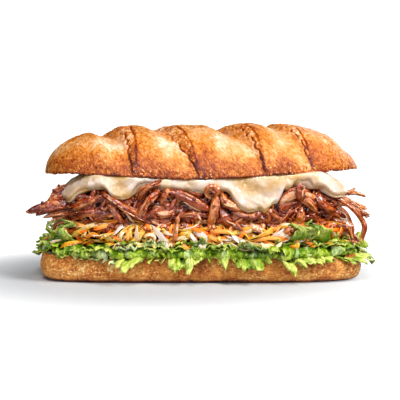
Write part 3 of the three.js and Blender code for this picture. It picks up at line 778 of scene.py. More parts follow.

# %% Where the crown's skin has stretched
# From one score to the next the dough is drawn out more and more. Skin that is drawn out is smooth and paler,
# and a painted highlight makes it palest along the flank's middle and less so near the rim. The first lobe
# starts at the left tip.
above_rim = plain[..., 2] - crown_rim(plain[..., 0])
first_lobe = crest < SCORES[0]["at"]
drawn_out = lobe + 0.13 * rough(stretch * [1, 0.16, 1], 5, 3, 55)
flank = np.where(first_lobe, ease(drawn_out, 0.62, 0.84), ease(drawn_out, 0.24, 0.62))
stretched = mix(0.5, 1, ease(flank, 0.2, 1)) * (1 - torn) * ease(above_rim, 2, 9)
# The painted highlight along the flank's middle.
painted_highlight = np.exp(-(((drawn_out - np.where(first_lobe, 0.84, 0.62)) / 0.13) ** 2))
pale = (0.3 * flank + 0.12 * painted_highlight) * mix(1, 0.8, first_lobe)
pale = pale * mix(0.4, 1, ease(above_rim, 4, 18))
print(f"smooth skin: {(stretched > 0.5).mean():.0%} of the crust")

# %% How brown the crown is baked, and its painted light and shade
# Blotches of 9 mm, and browner just right of a score. Painted highlight makes the flanks pale, less so
# towards the top. Painted light makes the top and the left tip lighter, and painted shade makes the skin
# darker low down. Right of the middle both the painted highlight and the painted shade low down are weaker.
# Fresh dough in the scores is mottled and darker low down, the rim is dark, and cracks and the bands' edges
# are painted dark as the shade in their grooves.
painted_shade_low = 1 - ease(above_rim, 1, 17)
# The pale flanks are lighter by their painted highlight.
bake = 0.5 - pale * (1 - 0.8 * ease(upright, 0.62, 0.95))
bake = bake + 0.08 * (1 - ease(lobe, 0, 0.2)) * ~first_lobe
# Painted shade low down, and painted light on the top.
bake += 0.24 * rough(plain, 9, 3, 51) + 0.29 * painted_shade_low - 0.07 * ease(upright, 0.45, 0.85)
# Painted light at the left tip.
bake -= 0.3 * first_lobe * (1 - ease(plain[..., 0], -84, -62))
bake += (0.4 * pale - 0.16 * painted_shade_low) * ease(plain[..., 0], 26, 56)
fresh_dough = 0.47 + 0.42 * rough(plain, 2.6, 3, 53) + 0.16 * (1 - ease(upright, 0.3, 0.7))
bake = mix(bake, fresh_dough, torn)
# Painted shade in the cracks and in the grooves at the bands' edges, and a dark line at the rim.
bake += 0.75 * crack + 0.42 * edge + 0.3 * np.exp(-(above_rim**2))
print("bake of the crust:", bake.min().round(2), "to", bake.max().round(2))

# %% Make the crown
flecks = np.clip(0.25 + 0.8 * torn + 0.45 * (1 - ease(above_rim, 3, 13)) - 0.3 * stretched, 0, 1)
flecks = flecks * ease(above_rim, 0.4, 1.6) * (1 - crack)
beneath = np.full(cut.shape[:2], 0.5)
crown_paint = {
    "bake": np.concatenate([bake, beneath], 1),
    "torn": np.concatenate([np.maximum(torn, 0.7 * (above_rim < 0.8)), beneath], 1),
    "smooth": np.concatenate([stretched, beneath], 1),
    "flecks": np.concatenate([flecks, 0 * beneath], 1),
    "dough": np.concatenate([stretch, cut], 1),
}
crown_of_roll = make_skin(
    "crown_of_roll", "bun_crown", crown, [crown_crust, crumb], crown_paint
)
# The way home is crumb, so its faces take the second material: the last steps round each section.
band_of_cut = np.zeros((crown.shape[0] - 1, crown.shape[1]), np.int32)
band_of_cut[:, CROWN_ROUND : CROWN_ROUND + CROWN_HOME - 1] = 1
face_slots = np.zeros(len(crown_of_roll.data.polygons), np.int32)
face_slots[: band_of_cut.size] = band_of_cut.ravel()
crown_of_roll.data.polygons.foreach_set("material_index", face_slots)

# %% [markdown]
# ## Soft layers as rounded blocks
# Lettuce, coleslaw and pork each fill a rounded block: a superellipse from above and, with a higher power,
# from the side. A turn from -90 to 90 degrees runs from the middle of the underside to the middle of the top.
# The pork slopes down to both ends, and everything on it follows that slope.

# %% The stacked layers
SIDE_POWER = 5
LETTUCE = {"centre": 0, "half_length": 83, "half_width": 38, "bottom": 15.1, "top": 20.7}
SLAW = {"centre": 0, "half_length": 77, "half_width": 36, "bottom": 21.6, "top": 30.7}
PORK = {"centre": 1, "half_length": 73.5, "half_width": 36, "bottom": 31.6, "top": 50}
CORE_AROUND = 320
for layer in (LETTUCE, SLAW, PORK):
    print(f"a layer from {layer['bottom']} to {layer['top']} mm, {2 * layer['half_length']} mm long")


def shoulder(x):
    """How far the pork has sunk at x, towards its left and right end."""
    return 4.5 * ease(-x, 56, 79) + 2.2 * ease(x, 62, 80)


def block_point(layer, outline, turn, side=0, top=0, power=SIDE_POWER):
    """A point of a layer's block grown by `side` and `top`. Its reach from the middle is |cos t|^(2/power)
    of the outline, and its rise is sin t to the same power of the half height."""
    middle, half = (layer["top"] + layer["bottom"]) / 2, (layer["top"] - layer["bottom"]) / 2
    reach = np.abs(np.cos(turn)) ** (2 / power)
    rise = signed_power(np.sin(turn), 2 / power)
    x = layer["centre"] + (layer["half_length"] + side) * outline[..., 0] * reach
    y = (layer["half_width"] + side) * outline[..., 1] * reach
    sunk = shoulder(x) * np.maximum(rise, 0) if layer is PORK else 0
    z = middle + (half + top) * rise - sunk + 0.25 * waves(x, y, layer["bottom"]) * rise
    return np.stack([x, y, z], -1)


def block_turns(rise_from, side_rings, top_rings, power):
    """Turns at even steps: up the side by equal rises from `rise_from` to 0.9, and then in over the top by
    equal steps of reach. Each is the power formula solved for the turn."""
    rise = mix(rise_from, 0.9, np.linspace(0, 1, side_rings)[:, None])
    up = np.arcsin(signed_power(rise, power / 2))
    reach = np.cos(up[-1:]) ** (2 / power) * np.linspace(1, 0.03, top_rings + 1)[1:, None]
    return np.concatenate([up, np.arccos(reach ** (power / 2))])


def layer_core(layer, below, above):
    """A layer's whole block (rings, around, 3). `below` and `above` give the rings on the side and on the
    flat of its lower and its upper half, which both start near the widest level."""
    near_widest = np.array([[0.05]])
    outline = even_outline(layer["half_length"], layer["half_width"], CORE_AROUND)
    lower = block_turns(near_widest, *below, SIDE_POWER)
    upper = block_turns(near_widest, *above, SIDE_POWER)
    return block_point(layer, outline, np.concatenate([-lower[::-1], upper]))


# %% [markdown]
# ## Melted cheese
# A few slices of mild cheese melted over the hot pork: a sheet about 3 mm thick that sags, runs down in
# tongues and sets with a fat rounded lip. Warm cheese is pale, a little see-through, and wet with its own
# oil, so it glints. Its skin runs down inside, round the lip and up outside. The level of the lip is a sum
# of bell curves, one for each tongue, and the outside bulges where the cheese has gathered.

# %% Cheese dimensions
# The gap to the pork, how thick the sheet is at its side, and how much it has on top, up to the crown.
CHEESE_GAP, CHEESE_SIDE, CHEESE_TOP = 0.8, 2.7, 5.4
CHEESE_POWER = 14
# The plain edge's level at the front and the back, and how far the ends hang below it.
CHEESE_EDGE, END_HANG = 49.6, 3
# How far the sheet's upper part leans in at the left end and at the right end.
LEFT_SLANT, RIGHT_SLANT = 6, 0.8
# Each tongue: its place along the roll, its half width, and how far it hangs below the plain edge.
FRONT_TONGUES = [
    (-71, 7, 5.5),
    (-40, 7, 4.8),
    (-27, 6, -2.6),
    (0, 7, 1.2),
    (24.5, 8.5, 10.4),
    (35.5, 5, 7.2),
    (51, 4.5, -2.8),
    (73, 9, 4.2),
]
BACK_TONGUES = [
    (-58, 10, 7.5),
    (-33, 6, -1.8),
    (-14, 8, 4.2),
    (12, 9, 9.2),
    (35, 6, -2.2),
    (55, 9, 5.4),
]


def hang(tongues, x):
    """How far the edge hangs at x: the tongues' hangs times exp(-((x - at) / wide)^4), added up."""
    return sum(deep * np.exp(-(((x - at) / wide) ** 4)) for at, wide, deep in tongues)


def cheese_edge(x, side):
    """The lip's level at x. `side` is -1 at the front and 1 at the back, and the ends hang evenly."""
    front, behind = ease(-side, 0.35, 0.85), ease(side, 0.35, 0.85)
    ends = END_HANG * (1 - front - behind)
    level = CHEESE_EDGE - hang(FRONT_TONGUES, x) * front - hang(BACK_TONGUES, x) * behind
    return level - ends - 0.5 * shoulder(x)


print("lip in front at x = -70, 0 and 25:", cheese_edge(np.array([-70.0, 0, 25]), -1).round(1))

# %% Cheese sheet with its lip
CHEESE_AROUND = 520
outline = even_outline(PORK["half_length"], PORK["half_width"], CHEESE_AROUND)
edge = cheese_edge(PORK["centre"] + PORK["half_length"] * outline[:, 0], outline[:, 1])
edge_place = np.stack([edge * 0, *outline.T * [[75], [36]]], -1)
edge += 0.5 * noise(edge_place, 6, 61) + 0.5 * noise(edge_place, 2.6, 62)
pork_middle, pork_half = (PORK["top"] + PORK["bottom"]) / 2, (PORK["top"] - PORK["bottom"]) / 2
low_inside = np.clip((edge - pork_middle) / (pork_half + CHEESE_GAP), -0.6, 0.85)[None]
low_outside = np.clip((edge - pork_middle) / (pork_half + CHEESE_GAP + CHEESE_TOP), -0.6, 0.85)[None]
inside = block_point(PORK, outline, block_turns(low_inside, 8, 5, SIDE_POWER)[::-1], CHEESE_GAP, CHEESE_GAP)
outside = block_point(
    PORK,
    outline,
    block_turns(low_outside, 46, 26, CHEESE_POWER),
    CHEESE_GAP + CHEESE_SIDE,
    CHEESE_GAP + CHEESE_TOP,
    CHEESE_POWER,
)
round_lip = np.pi * np.linspace(0, 1, 9)[1:-1][:, None, None]
lip = mix(inside[-1:], outside[:1], (1 - np.cos(round_lip)) / 2)
lip[..., 2] -= 1.1 * np.sin(round_lip[..., 0])
cheese = np.concatenate([inside, lip, outside])
print(f"cheese: {len(inside)} rings inside, {len(lip)} round the lip, {len(outside)} outside")

# %% Beads and folds
# Cheese gathers 2 mm above the lip, more so in the tongues, and shallow folds run down at a slant. What lies
# under the crown stays flat.
is_outside = (np.arange(len(cheese)) >= len(inside)).astype(float)[:, None]
above_lip = cheese[..., 2] - edge
gathered = ease(hang(FRONT_TONGUES, cheese[..., 0]) * (cheese[..., 1] < 0), 0, 6)
bead = (0.1 + 0.3 * gathered) * np.exp(-(((above_lip - 2) / 2) ** 2))
bead = bead - 0.9 * np.exp(-((above_lip / 1.1) ** 2))
slanted = np.stack([cheese[..., 0] + 1.1 * cheese[..., 2], cheese[..., 1], 0.75 * cheese[..., 2]], -1)
folds = 0.5 - 1.3 * rough(slanted, 13, 1, 63) ** 2 + 0.6 * rough(slanted, 7, 2, 65)
beneath_crown = ease(cheese[..., 2], 54.5, 56)
push = bead + folds * (1 - beneath_crown) * ease(above_lip, -0.5, 2)
cheese = cheese + skin_normals(cheese) * (push * is_outside)[..., None]
print("cheese is pushed out by, mm:", push.min().round(2), "to", push.max().round(2))

# %% Cheese fitted to the crown
# Both ends lean in towards the crown, and the right one bulges below it. The top is a little high in front
# at the right, and lower behind that. The rest of it follows the crown's rim.
RIGHT_BULGE = 1.6
cheese[..., 0] += LEFT_SLANT * ease(-cheese[..., 0], 50, 74) * ease(cheese[..., 2], 44, 56)
cheese[..., 0] -= RIGHT_SLANT * ease(cheese[..., 0], 52, 74) * ease(cheese[..., 2], 44, 56)
cheese[..., 0] += RIGHT_BULGE * ease(cheese[..., 0], 60, 76) * (1 - ease(cheese[..., 2], 50, 56))
right_top = ease(cheese[..., 0], 56, 70) * ease(cheese[..., 2], 50, 55) * is_outside
cheese[..., 2] += mix(0.8, -1.6, ease(cheese[..., 1], -30, -12)) * right_top
up_to_crown = (crown_rim(cheese[..., 0]) - CROWN["rim"]) * (1 - ease(cheese[..., 0], 60, 73))
cheese[..., 2] += up_to_crown * ease(cheese[..., 2], 46, 55) * is_outside
print("cheese top, mm:", cheese[..., 2].max().round(1))

# %% Cheese paint
# `thin` turns the cream golden at the lip. It also holds painted shade, golden under the crown and where a
# fold is hollow. That painted shade is lifted at the right end, which is paler.
# Painted shade under the crown's overhang, lifted at the right end, which is paler.
shaded = ease(cheese[..., 2], 54, 56) * (1 - ease(cheese[..., 0], 48, 62))
shaded -= 0.5 * ease(cheese[..., 0], 44, 62)
golden_lip = 0.4 * np.exp(-(((above_lip + 0.3) / 1.3) ** 2))
# The golden lip, and painted shade under the crown and in the folds' hollows.
cheese_thin_and_shade = 0.3 + golden_lip + 0.15 * ease(above_lip, 6, 12) - 0.1 * folds * is_outside + 0.25 * shaded
print("cheese tone:", cheese_thin_and_shade.min().round(2), "to", cheese_thin_and_shade.max().round(2))

# %% Melted cheese material
melted = new_material("melted mild cheese")
# Milk fat and protein, melted and set again: cream to butter yellow, with light that goes a few
# millimetres in, and a wet skin of oil.
place = add_node(melted, "TexCoord").outputs["Object"]
# `thin` holds the golden lip, and painted shade under the crown and in hollow folds.
thin = add_node(melted, "Attribute", {"attribute_name": "thin"}).outputs["Fac"]
clouds = add_node(melted, "TexNoise", {"Scale": 1 / 0.008, "Detail": 3}, {"Vector": place}).outputs["Fac"]
tone = add_node(melted, "Math", {"operation": "MULTIPLY_ADD", 1: 0.6}, {0: thin, 2: clouds}).outputs[0]
cream = add_node(
    melted,
    "ValToRGB",
    {"stops": [(0.35, "#EADAD6"), (0.6, "#E0C8B4"), (0.8, "#DCBC94"), (1, "#C89C58")]},
    {"Fac": tone},
).outputs["Color"]
skin = add_node(melted, "TexNoise", {"Scale": 1 / 0.0045, "Detail": 2}, {"Vector": place}).outputs["Fac"]
oily = add_node(melted, "Bump", {"Strength": 0.6, "Distance": 0.0018}, {"Height": skin}).outputs[0]
shader = add_node(
    melted,
    "BsdfPrincipled",
    {
        "Roughness": 0.3,
        "IOR": 1.46,
        "Subsurface Weight": 0.8,
        "Subsurface Scale": 0.006,
        "Subsurface Radius": (1, 0.85, 0.65),
        "Coat Weight": 0.9,
        "Coat IOR": 1.55,
        "Coat Roughness": 0.07,
    },
    {"Base Color": cream, "Normal": oily, "Coat Normal": oily},
)
add_node(melted, "OutputMaterial", {}, {"Surface": shader.outputs[0]})
make_skin("melted_cheese_sheet", "melted_cheese", cheese, [melted], {"thin": cheese_thin_and_shade})

# %% [markdown]
# ## Paths on the sides of the heap
# Every strand, shred and leaf lies on the side of the stacked layers. One formula gives how far the stack
# reaches out at a height, and two more turn a place on it into a point: `in_front` takes a distance along
# the roll, for pieces with a known place, and `round_stack` takes a share of the way round, for the rest.

# %% The stack's side
# How much the side bridges the grooves, how deep strands' ends are tucked in, and the gap between layers.
BRIDGE, TUCK, GAP = 1.5, 1.4, 0.35
# About the length of the way round, in millimetres, and the steps in which its outline is kept.
WAY_ROUND, WAY_STEPS = 400, 1600
STACK = [{**HEEL, "bottom": -HEEL["height"], "top": HEEL["height"]}, LETTUCE, SLAW, PORK]
WAY = even_outline(PORK["half_length"], PORK["half_width"], WAY_STEPS)
WAY = np.concatenate([WAY, WAY[:1]])


def stack_reach(z):
    """Half length and half width of the stack at height z: the largest of its layers, each falling to
    nothing as (1 - share^5)^(1/5) of its half height and a little more, which bridges the grooves. The
    pork's side goes on upwards, under what lies over the cheese."""
    z = np.minimum(z, PORK["top"] - 3)
    along, across = 0 * z, 0 * z
    for layer in STACK:
        middle, half = (layer["top"] + layer["bottom"]) / 2, (layer["top"] - layer["bottom"]) / 2
        share = np.minimum(np.abs(z - middle) / (half + BRIDGE), 1)
        part = (1 - share**SIDE_POWER) ** (1 / SIDE_POWER)
        along = np.maximum(along, layer["half_length"] * part)
        across = np.maximum(across, layer["half_width"] * part)
    return along, across


def in_front(x, z, lift):
    """Points in front of the stack at x and z, `lift` off its side. Past its end they keep its depth."""
    along, across = stack_reach(z)
    share = np.minimum(np.abs(x) / along, 0.96)
    y = -across * (1 - share**PLAN_POWER) ** (1 / PLAN_POWER) - lift
    return np.stack([x, y, z], -1)


def way_point(place):
    """The outline's point at a share of the way round, anticlockwise from +x."""
    steps = (place - np.floor(place)) * (len(WAY) - 1)
    return [np.interp(steps, np.arange(len(WAY)), WAY[:, axis]) for axis in (0, 1)]


def round_stack(place, z, lift):
    """Points round the stack: the outline stretched to its reach at z, moved out by lift along the
    outline's normal, which is (cx^3 / along, cy^3 / across)."""
    cx, cy = way_point(place)
    along, across = stack_reach(z)
    out = unit(np.stack([signed_power(cx, 3) / along, signed_power(cy, 3) / across, 0 * cx], -1))
    return np.stack([along * cx, across * cy, z], -1) + out * np.asarray(lift)[..., None]


def standing(points):
    """How far points stand off the stack's side: its plan outline |x/a|^4 + |y/b|^4 = r^4 gives the share r
    that a point is out by, and r - 1 is scaled by the half width b."""
    along, across = stack_reach(points[..., 2])
    share = ((points[..., 0] / along) ** 4 + (points[..., 1] / across) ** 4) ** 0.25
    return (share - 1) * across


def outward_of(points):
    """Level directions that point away from the roll's long axis."""
    return unit(points * [0.2, 1, 0])


def across_path(points, step):
    """Two directions across a path that takes `step` at each point: out of the heap, and aside along it."""
    tangent = unit(step)
    out = outward_of(points)
    out = unit(out - tangent * (out * tangent).sum(-1, keepdims=True))
    return out, np.cross(tangent, out)


print("reach at z = 10, 26 and 40 mm:", np.round(stack_reach(np.array([10.0, 26, 40])), 1).tolist())

# %% [markdown]
# ## Strands from paths
# A strand of meat, a shred of cabbage and a stick of carrot are all an oval section carried along a path.
# What tells them apart is the section: meat is a bundle of fibres, so its outline has furrows that drift
# slowly along it, cabbage is flat and twists, and carrot is nearly square.


# %% Carry a section along many paths
def carry(paths, wide, thick, around, draw, furrow=0.0, twist=None, blunt=2.4, square=2.0):
    """Closed skins along paths (strands, rings, 3). The section is the oval |a|^square + |b|^square = 1,
    `wide` along the heap's side and `thick` out of it. Furrows are cosines of 3, 5 and 8 times the angle
    round, whose phases drift along the strand. Sections shrink to round ends by (1 - |2t - 1|^blunt)^0.5.
    Returns the skins, and each point's place in the straightened strand, for grain."""
    count, rings, _ = paths.shape
    step = np.gradient(paths, axis=1)
    out, aside = across_path(paths, step)
    if twist is not None:
        turn = twist[..., None]
        out, aside = out * np.cos(turn) + aside * np.sin(turn), aside * np.cos(turn) - out * np.sin(turn)
    share = np.linspace(0, 1, rings)[None, :]
    slim = np.sqrt(np.maximum(1 - np.abs(2 * share - 1) ** blunt, 0.02))
    angle = (2 * np.pi * np.arange(around) / around)[None, None, :]
    radius = (np.abs(np.cos(angle)) ** square + np.abs(np.sin(angle)) ** square) ** (-1 / square)
    for times, part in ((3, 1), (5, 0.9), (8, 0.7)):
        phase = draw.uniform(0, 2 * np.pi, (count, 1, 1))
        phase = phase + draw.normal(0, 2, (count, 1, 1)) * share[..., None]
        radius = radius + furrow * part * np.cos(times * angle + phase)
    a = np.cos(angle) * radius * (thick * slim)[..., None] / 2
    b = np.sin(angle) * radius * (wide * slim)[..., None] / 2
    skins = paths[:, :, None] + out[:, :, None] * a[..., None] + aside[:, :, None] * b[..., None]
    along = np.cumsum(np.linalg.norm(step, axis=-1), axis=1)[..., None] + 0 * a
    grain = np.stack([along + draw.uniform(0, 900, (count, 1, 1)), b, a], -1)
    return skins, grain


def spread_tone(tone, skins):
    """One number for each strand, given to all its points."""
    return np.broadcast_to(np.asarray(tone)[:, None, None, None], skins.shape[:3] + (1,))


# %% Listed paths and paths by rule
# Whole multiples of these, less their whole parts, spread evenly over 0 to 1 and never bunch up.
GOLDEN, GOLDEN_ACROSS = 0.618034, 0.754878


def route(corners, rings):
    """A rounded line through a few corners (x, z): points at equal steps of the straight route, each moved
    towards the mean of its two neighbours again and again, with both ends kept."""
    corners = np.array(corners, float)
    along = np.concatenate([[0], np.cumsum(np.linalg.norm(np.diff(corners, axis=0), axis=-1))])
    share = np.linspace(0, along[-1], rings)
    line = np.stack([np.interp(share, along, corners[:, axis]) for axis in (0, 1)], -1)
    for _ in range(rings // 3):
        line[1:-1] = 0.5 * line[1:-1] + 0.25 * (line[:-2] + line[2:])
    return line


def arch(rings):
    """0 at both ends of a strand and 1 in its middle: (4t(1 - t))^0.8."""
    share = np.linspace(0, 1, rings)
    return (4 * share * (1 - share)) ** 0.8


def under_cheese(lift, x, z, side):
    """Strands that reach above the cheese's lip go in under it."""
    lip_level = cheese_edge(x, side)
    return mix(lift, -2.2, ease(z, lip_level - 1.5, lip_level + 1.2))


def paths_by_rule(draw, layer, count, rings, levels, lengths, slope, curl, lifts, front_share):
    """Paths all round the stack. Middles are spread evenly by golden steps. Each path's heading starts at a
    slope and turns steadily by its curl, its steps are added up, and it rises off the heap in its middle.
    At the front lifts are cut to `front_share`, so that the listed strands stay on top."""
    low, high = levels
    number = np.arange(count) + 1
    place, level = (number * GOLDEN) % 1, (number * GOLDEN_ACROSS) % 1
    run = draw.uniform(*lengths, count)[:, None]
    share = np.linspace(-0.5, 0.5, rings)[None]
    wiggle = draw.normal(0, 0.35, (count, 1)) * np.sin(7 * share + draw.uniform(0, 6, (count, 1)))
    heading = draw.uniform(-slope, slope, (count, 1)) + draw.normal(0, curl, (count, 1)) * share + wiggle
    along = np.cumsum(np.cos(heading), 1) * run / rings
    up = np.cumsum(np.sin(heading), 1) * run / rings
    along -= along.mean(1, keepdims=True)
    z = mix(low, high, level)[:, None] + up - up.mean(1, keepdims=True)
    z = np.clip(z, low - 3, high + 3)
    place = place[:, None] + along / WAY_ROUND
    cx, cy = way_point(place)
    top = draw.uniform(*lifts, count)[:, None] * mix(1, front_share, ease(-cy, 0.5, 0.9))
    off = mix(-TUCK, top, arch(rings)[None])
    if layer is PORK:
        off = under_cheese(off, PORK["half_length"] * cx, z, cy)
    return round_stack(place, z, off)


print("a route with one bend:", route([(0, 0), (10, 0), (10, 10)], 5).round(1).tolist())

# %% [markdown]
# ## Pulled pork
# Pork shoulder, cooked slowly until its fibres come apart and tossed in a brown, sweet sauce. The strands
# are bundles of fibres, 2 to 6 mm thick, wet and glossy, with frayed ends, and dark hollows between them. The
# heap is made in three steps: a lumpy core under everything, thick strands that are split into plies, and
# fine fibres that lie on the strands and stick out of their ends. The strands that show most have routes of
# their own.

# %% Pork material
pork_meat = new_material("sauced pulled pork")
# Cooked muscle, brown outside and paler where it has torn, under a thin coat of sauce. Grain runs along
# the strand: its noise is stretched, 0.5 mm across and 6 mm along.
grain = add_node(pork_meat, "Attribute", {"attribute_name": "grain"}).outputs["Vector"]
tone = add_node(pork_meat, "Attribute", {"attribute_name": "tone"}).outputs["Fac"]
place = add_node(pork_meat, "TexCoord").outputs["Object"]
grain_place = add_node(pork_meat, "Mapping", {"Scale": (1 / 6, 2, 2)}, {"Vector": grain}).outputs[0]
fibres = add_node(
    pork_meat, "TexNoise", {"Scale": 1, "Detail": 3, "Roughness": 0.6}, {"Vector": grain_place}
).outputs["Fac"]
patches = add_node(pork_meat, "TexNoise", {"Scale": 1 / 0.004, "Detail": 3}, {"Vector": place}).outputs["Fac"]
total = tone
for pattern, strength in ((fibres, 0.34), (patches, 0.5)):
    swing = add_node(
        pork_meat, "Math", {"operation": "MULTIPLY_ADD", 1: strength, 2: -strength / 2}, {0: pattern}
    ).outputs[0]
    total = add_node(pork_meat, "Math", {"operation": "ADD"}, {0: total, 1: swing}).outputs[0]
brown = add_node(
    pork_meat,
    "ValToRGB",
    {"stops": [(0.08, "#280300"), (0.3, "#701C00"), (0.5, "#A44204"), (0.7, "#D07A34"), (0.95, "#F8CCAC")]},
    {"Fac": total},
).outputs["Color"]
wet = add_node(pork_meat, "MapRange", {"To Min": 0.2, "To Max": 0.4}, {"Value": patches}).outputs[0]
drops = add_node(pork_meat, "TexNoise", {"Scale": 1 / 0.0026, "Detail": 1}, {"Vector": place}).outputs["Fac"]
film = add_node(pork_meat, "Bump", {"Strength": 1, "Distance": 0.0011}, {"Height": drops}).outputs[0]
furrows = add_node(
    pork_meat, "Bump", {"Strength": 0.5, "Distance": 0.0004}, {"Height": fibres, "Normal": film}
).outputs[0]
shader = add_node(
    pork_meat,
    "BsdfPrincipled",
    {
        "IOR": 1.4,
        "Specular IOR Level": 0.1,
        "Subsurface Weight": 0.2,
        "Subsurface Scale": 0.002,
        "Subsurface Radius": (1, 0.25, 0.1),
        "Coat Weight": 1,
        "Coat IOR": 1.9,
        "Coat Roughness": 0.1,
    },
    {"Base Color": brown, "Roughness": wet, "Normal": furrows, "Coat Normal": furrows},
)
add_node(pork_meat, "OutputMaterial", {}, {"Surface": shader.outputs[0]})

# %% Pork core
# Lumpy meat that shows between the strands, painted dark as the shade between them, and a little lighter on
# its humps as painted light. Its lumps go in more than out.
pork_core = layer_core(PORK, (14, 6), (16, 6))
humps = 1.3 * rough(pork_core, 8, 3, 71) + 0.7 * rough(pork_core * [1, 1, 2], 2.5, 2, 73)
pork_core = pork_core + skin_normals(pork_core) * (humps - 0.6)[..., None]
core_paint = {"tone": 0.18 + 0.12 * humps, "grain": pork_core}
make_skin("pork_heap", "pulled_pork", pork_core, [pork_meat], core_paint)

# %% Strands that show in front
# From left to right: the corners (x, z) of each strand's route, its width, and how far it stands off.
PORK_SHOWN = [
    ([(-91.6, 35.6), (-84, 38.6), (-74, 40.6), (-62, 39.5)], 7.2, 2),
    ([(-84.5, 34.6), (-68, 38.6), (-52, 46.8)], 4.6, 2.6),
    ([(-80, 32.8), (-69.1, 37), (-57, 42)], 3.8, 1.6),
    ([(-53.9, 48.2), (-46.2, 43.8), (-26, 32.2)], 3.9, 3.6),
    ([(-50, 43.2), (-43.7, 36.5), (-38.8, 29)], 3.1, 2.8),
    ([(-75, 26.5), (-68.1, 34.4), (-60.8, 37), (-48, 37)], 3.9, 1.6),
    ([(-60, 31.4), (-53, 35.5), (-44, 37.9)], 3.4, 0.8),
    ([(-33.6, 43), (-31.4, 48), (-28.4, 51.2), (-20.5, 53.8)], 3.4, 5.8),
    ([(-34, 34), (-31, 39), (-26, 45.3), (-20.3, 51)], 4.4, 4.4),
    ([(-21, 40), (-19.4, 46.5), (-16.5, 50), (-12.5, 50.6)], 3.6, 3.6),
    ([(-16.1, 49.4), (-5.7, 44.3), (5, 39)], 5.6, 3),
    ([(-8, 49.6), (1, 45.8)], 3.2, 2.4),
    (
        [(8.8, 46), (4.4, 45.4), (1.8, 48.6), (4, 51.8), (8.4, 51.2), (9.6, 48), (6.8, 46.8), (5.2, 48.8)],
        3.1,
        5,
    ),
    ([(8.3, 46.6), (6.4, 37.5), (5.4, 28.6)], 4.8, 3.2),
    ([(9.6, 41), (13, 33.2), (22.5, 28)], 4, 3),
    ([(10.8, 48.4), (12.4, 42.9), (21.3, 38.6)], 4.6, 3),
    ([(-11.6, 37.5), (-13.2, 28.1), (-14.7, 19.4)], 3, 3),
    ([(-28.5, 38.4), (-18.7, 36.3), (-9.4, 39.4)], 3.6, 1.2),
    ([(-12, 35.6), (-3.1, 37), (5, 35.8)], 3.4, 1.2),
    ([(52, 43), (51.6, 49), (52.3, 52.8)], 4.6, 5.6),
    ([(40, 41), (44, 46), (51, 48.6), (60, 45.4)], 5.6, 3),
    ([(39.5, 38), (45.1, 42), (53, 43.4)], 4, 1.6),
    ([(49.5, 47), (55.5, 42.7), (61.5, 36.8)], 4.4, 2.6),
    ([(60.5, 48.6), (64, 40.4), (77, 33.6)], 4.8, 3.4),
    ([(62, 49), (69, 46.4), (76, 41)], 3.4, 1.6),
    ([(66, 41), (78, 41.5), (89, 33.4)], 3.6, 2.4),
    ([(66, 45.5), (72.4, 44.2), (81.5, 38), (87.6, 30), (85, 19.6)], 2.8, 3.6),
    ([(72, 45), (80, 42.6), (89.4, 33)], 2.2, 2.6),
    ([(69, 42), (77.6, 36), (81, 27), (80, 18.6)], 2.2, 3),
    ([(64, 36.6), (75.3, 30.4), (83.8, 20.6)], 3.6, 3),
    ([(53.8, 41), (51.6, 33), (45, 26)], 4.4, 2.6),
    ([(15.6, 38.4), (26.5, 34.2), (37, 41.6)], 3.8, 1.8),
    ([(32.4, 40.8), (37.4, 37), (44, 32)], 3.8, 1.6),
    ([(14.6, 35.4), (22.8, 32.3), (32.6, 27.2)], 3.6, 1.8),
    ([(60, 28.9), (64.5, 32.6), (70, 28.4)], 3.8, 1.6),
    ([(72.4, 34.4), (78.6, 27.5), (81.5, 19.5)], 2.4, 3.6),
    ([(70, 44.4), (78, 46.4), (83, 46.8), (88.6, 44.8)], 2.2, 0.6),
    ([(72, 46.6), (79.4, 47), (82.6, 49.4)], 1.8, 0.4),
    ([(70, 42), (80, 40.6), (90.6, 34)], 2.6, 3),
    ([(76, 44), (83, 40.4), (89.6, 38)], 2.8, 1.4),
    ([(-79.4, 46.6), (-74, 49), (-66, 49.6)], 3.6, -3.4),
    ([(-77.8, 49.6), (-72, 49.8), (-66, 48)], 2.2, -2.6),
    ([(-82, 40.2), (-78, 44.6), (-72, 46.5)], 3.8, -0.6),
    ([(-72, 43), (-63, 45.6), (-55, 44.4)], 3.8, 1.2),
    ([(-47, 42), (-41, 40.6), (-35, 42.6)], 3, 1.4),
    ([(-43, 35.4), (-37, 39), (-31, 38)], 3, 1.2),
    ([(-27, 33.6), (-21, 32), (-15, 34)], 3.6, 1.2),
    ([(22, 44), (29, 38.6), (36, 36.6)], 3.4, 1.2),
    ([(56, 38), (61, 33.6), (68, 32.2)], 4, 1.6),
]
print(len(PORK_SHOWN), "strands have routes of their own")

# %% Strands of meat
# Their numbers, and how many rings and points round each kind has. A strand is a little flatter than round,
# and one that stands off by OVER_CHEESE or more lies over the cheese.
STRANDS_BY_RULE, STRAND_RINGS = 84, 34
PLIES, PLY_RINGS, PLY_AROUND = 5, 26, 8
SHREDS, SHRED_RINGS, SHRED_AROUND = 240, 20, 9
PORK_FLAT = 0.75
OVER_CHEESE = 5
draw = np.random.default_rng(22)


